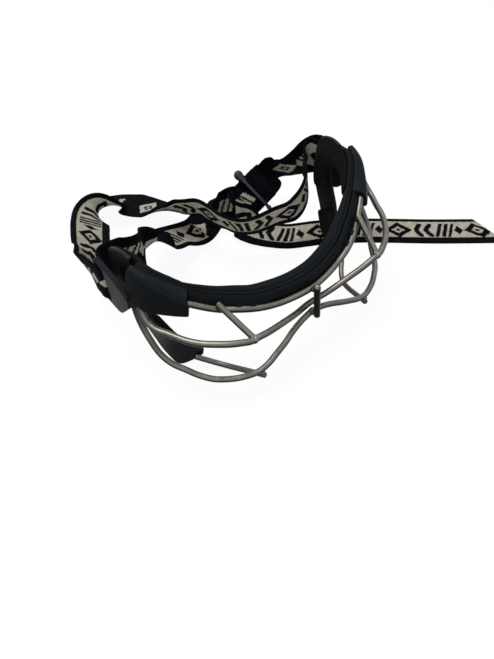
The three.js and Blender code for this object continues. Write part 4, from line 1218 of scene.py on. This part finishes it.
strut_off = (WIRE_DIAMETER + STRUT_DIAMETER) / 2 + GAP
for name, side in (("left", 1), ("right", -1)):
    foot = place(strut_foot_share, side)
    lower_route = Route(places_of(lower_wire_shares, side))
    side_route = Route([foot, *places_of(side_wire_shares, side)])
    # The left lower wire takes the cooler grey copy of the metal, painted shade and reflection
    lower_wire = shade_tinted_wire if side > 0 else warm_wire
    wire_piece(f"{name}_side_bar", f"{name}_side_wire", side_route)
    wire_piece(f"{name}_lower_bar", f"{name}_lower_wire", lower_route, material=lower_wire)

    # Upper strut
    on_brow = place(strut_top_share, side)
    _, wire_way = brow_wire_route.at(brow_wire_route.nearest(on_brow))
    slope = unit(on_brow - foot)
    off_brow = unit(np.cross(wire_way[0], slope))
    off_brow = off_brow * np.sign(off_brow[2]) * strut_off
    top = on_brow + off_brow + slope * STRUT_REACH / 2
    toe = foot - slope * STRUT_REACH / 2
    wire_piece(f"{name}_upper_strut_bar", f"{name}_upper_strut", straight(top, toe), STRUT_DIAMETER, 14)
    weld_beads(f"{name}_foot_weld", [foot, foot + slope * 1.4 * MM], FOOT_BEAD, 5 + side)
    weld_beads(f"{name}_strut_top_weld", [on_brow + off_brow * 0.5], STRUT_BEAD, 9 + side)

    # Side frame and pads
    edges = places_of(frame_outer_shares, side), places_of(frame_inner_shares, side)
    side_frame = band(f"{name}_side_plate", *edges, side, plate_section, 120, 0, 1, 0.5 * MM)
    dress(side_frame, frame_plastic, "frame_plastic", f"{name}_side_frame")
    temple_pad = band(
        f"{name}_temple_foam", *edges, side, pad_section(TEMPLE_PAD_THICKNESS, 0.25, 0.36),
        70, 0.01, temple_pad_end_share, 0.8 * MM, 50)
    start, end = on_side(liner_start_share, side), on_side(liner_end_share, side)
    liner = rail("liner", liner_section, start, end, 60, 0.6 * MM, 50)
    soft_foam(smooth_union(temple_pad, [liner]))
    dress(temple_pad, foam, "foam", f"{name}_temple_pad")
    cheek_pad = band(
        f"{name}_cheek_foam", *edges, side, pad_section(CHEEK_PAD_THICKNESS),
        70, cheek_pad_start_share, 0.99, 1.2 * MM, 50)
    dress(cheek_pad, foam, "foam", f"{name}_cheek_pad")

    # Lower strut, from the side frame to the lower wire
    seat_edge, seat_across, seat_off = band_at(*edges, lower_strut_seat_share, side)
    strut_start = seat_edge + seat_across * lower_strut_middle_share - seat_off * (STRUT_DIAMETER / 2 + GAP)
    bend = place(lower_strut_bend_share, side)
    wire_share = lower_route.nearest(place(lower_strut_wire_share, side))
    (on_wire,), (wire_along,) = lower_route.at(wire_share)
    run = unit(on_wire - bend)
    under = unit(np.cross(wire_along, run))
    under = -under * np.sign(under[2]) * strut_off
    tip = on_wire + under + run * STRUT_REACH / 2
    strut_route = Route([strut_start, bend + 0.3 * (strut_start - bend), bend + 0.12 * (tip - bend), tip])
    wire_piece(f"{name}_lower_strut_bar", f"{name}_lower_strut", strut_route, STRUT_DIAMETER, 30)
    weld_beads(f"{name}_tip_weld", [on_wire + under * 0.5], STRUT_BEAD, 13 + side)

    for place_name, share in (("inner", inner_sleeve_share), ("outer", outer_sleeve_share)):
        (at,), (way,) = brow_wire_route.at(share if side > 0 else 1 - share)
        sleeve = clip(f"{name}_{place_name}_clip", at, way)
        dress(sleeve, rubber, "rail_rubber", f"{name}_{place_name}_sleeve")
    housing = temple_housing(f"housing_{name}", side)
    dress(housing, housing_rubber, "rail_rubber", f"{name}_temple_housing")


# Floor, backdrop and light


def grey(value):
    return (value, value, value, 1)


def seen_directly(tree):
    """1 for rays from the camera, in reflections and through glass, and 0 for rays that light the object."""
    ray = add_node(tree, "ShaderNodeLightPath").outputs
    return Field(tree, ray["Is Camera Ray"]).either(ray["Is Glossy Ray"]).either(ray["Is Transmission Ray"])


def cleared(holder):
    holder.use_nodes = True
    holder.node_tree.nodes.clear()
    return holder.node_tree


def shown(tree, lighting, seen, end):
    """The tree's end: one shader that lights the object, and one that is seen directly."""
    mix = add_node(tree, "ShaderNodeMixShader", {0: seen_directly(tree), 1: lighting, 2: seen})
    add_node(tree, end, {0: mix.outputs[0]})


floor_white = bpy.data.materials.new("white_table")
tree = cleared(floor_white)
soft = add_node(tree, "ShaderNodeBsdfDiffuse", {"Color": grey(0.8)})
faint = add_node(tree, "ShaderNodeBsdfDiffuse", {"Color": grey(FLOOR_SHADE)})
glow = add_node(tree, "ShaderNodeEmission", {"Color": grey(1), "Strength": FLOOR_GLOW})
seen = add_node(tree, "ShaderNodeAddShader", {0: faint.outputs[0], 1: glow.outputs[0]})
shown(tree, soft.outputs[0], seen.outputs[0], "ShaderNodeOutputMaterial")
floor_corners = [
    (x * FLOOR_REACH, y * FLOOR_REACH, FLOOR_HEIGHT) for x, y in ((-1, -1), (1, -1), (1, 1), (-1, 1))]
table = new_object("table", new_mesh("table", floor_corners, [(0, 1, 2, 3)]))
table.data.materials.append(floor_white)

scene.world = bpy.data.worlds.new("studio")
tree = cleared(scene.world)
room = add_node(tree, "ShaderNodeBackground", {"Color": grey(1), "Strength": ROOM_LIGHT})
white = add_node(tree, "ShaderNodeBackground", {"Color": grey(1), "Strength": 1.0})
shown(tree, room.outputs[0], white.outputs[0], "ShaderNodeOutputWorld")


def soft_light(name, at, target, size, power):
    data = bpy.data.lights.new(name, "AREA")
    data.shape = "DISK"
    data.size = size
    data.energy = power
    lamp = new_object(name, data)
    lamp.location = at
    lamp.rotation_euler = (Vector(target) - Vector(at)).to_track_quat("-Z", "Y").to_euler()


soft_light("overhead", (-0.15, 0.35, 1.1), (0, 0.03, 0.03), 0.7, 7.4)
soft_light("front_fill", (-0.7, -0.8, 0.7), (0, 0, 0.03), 0.6, 1.2)

scene.view_settings.view_transform = "Standard"
scene.view_settings.look = "None"
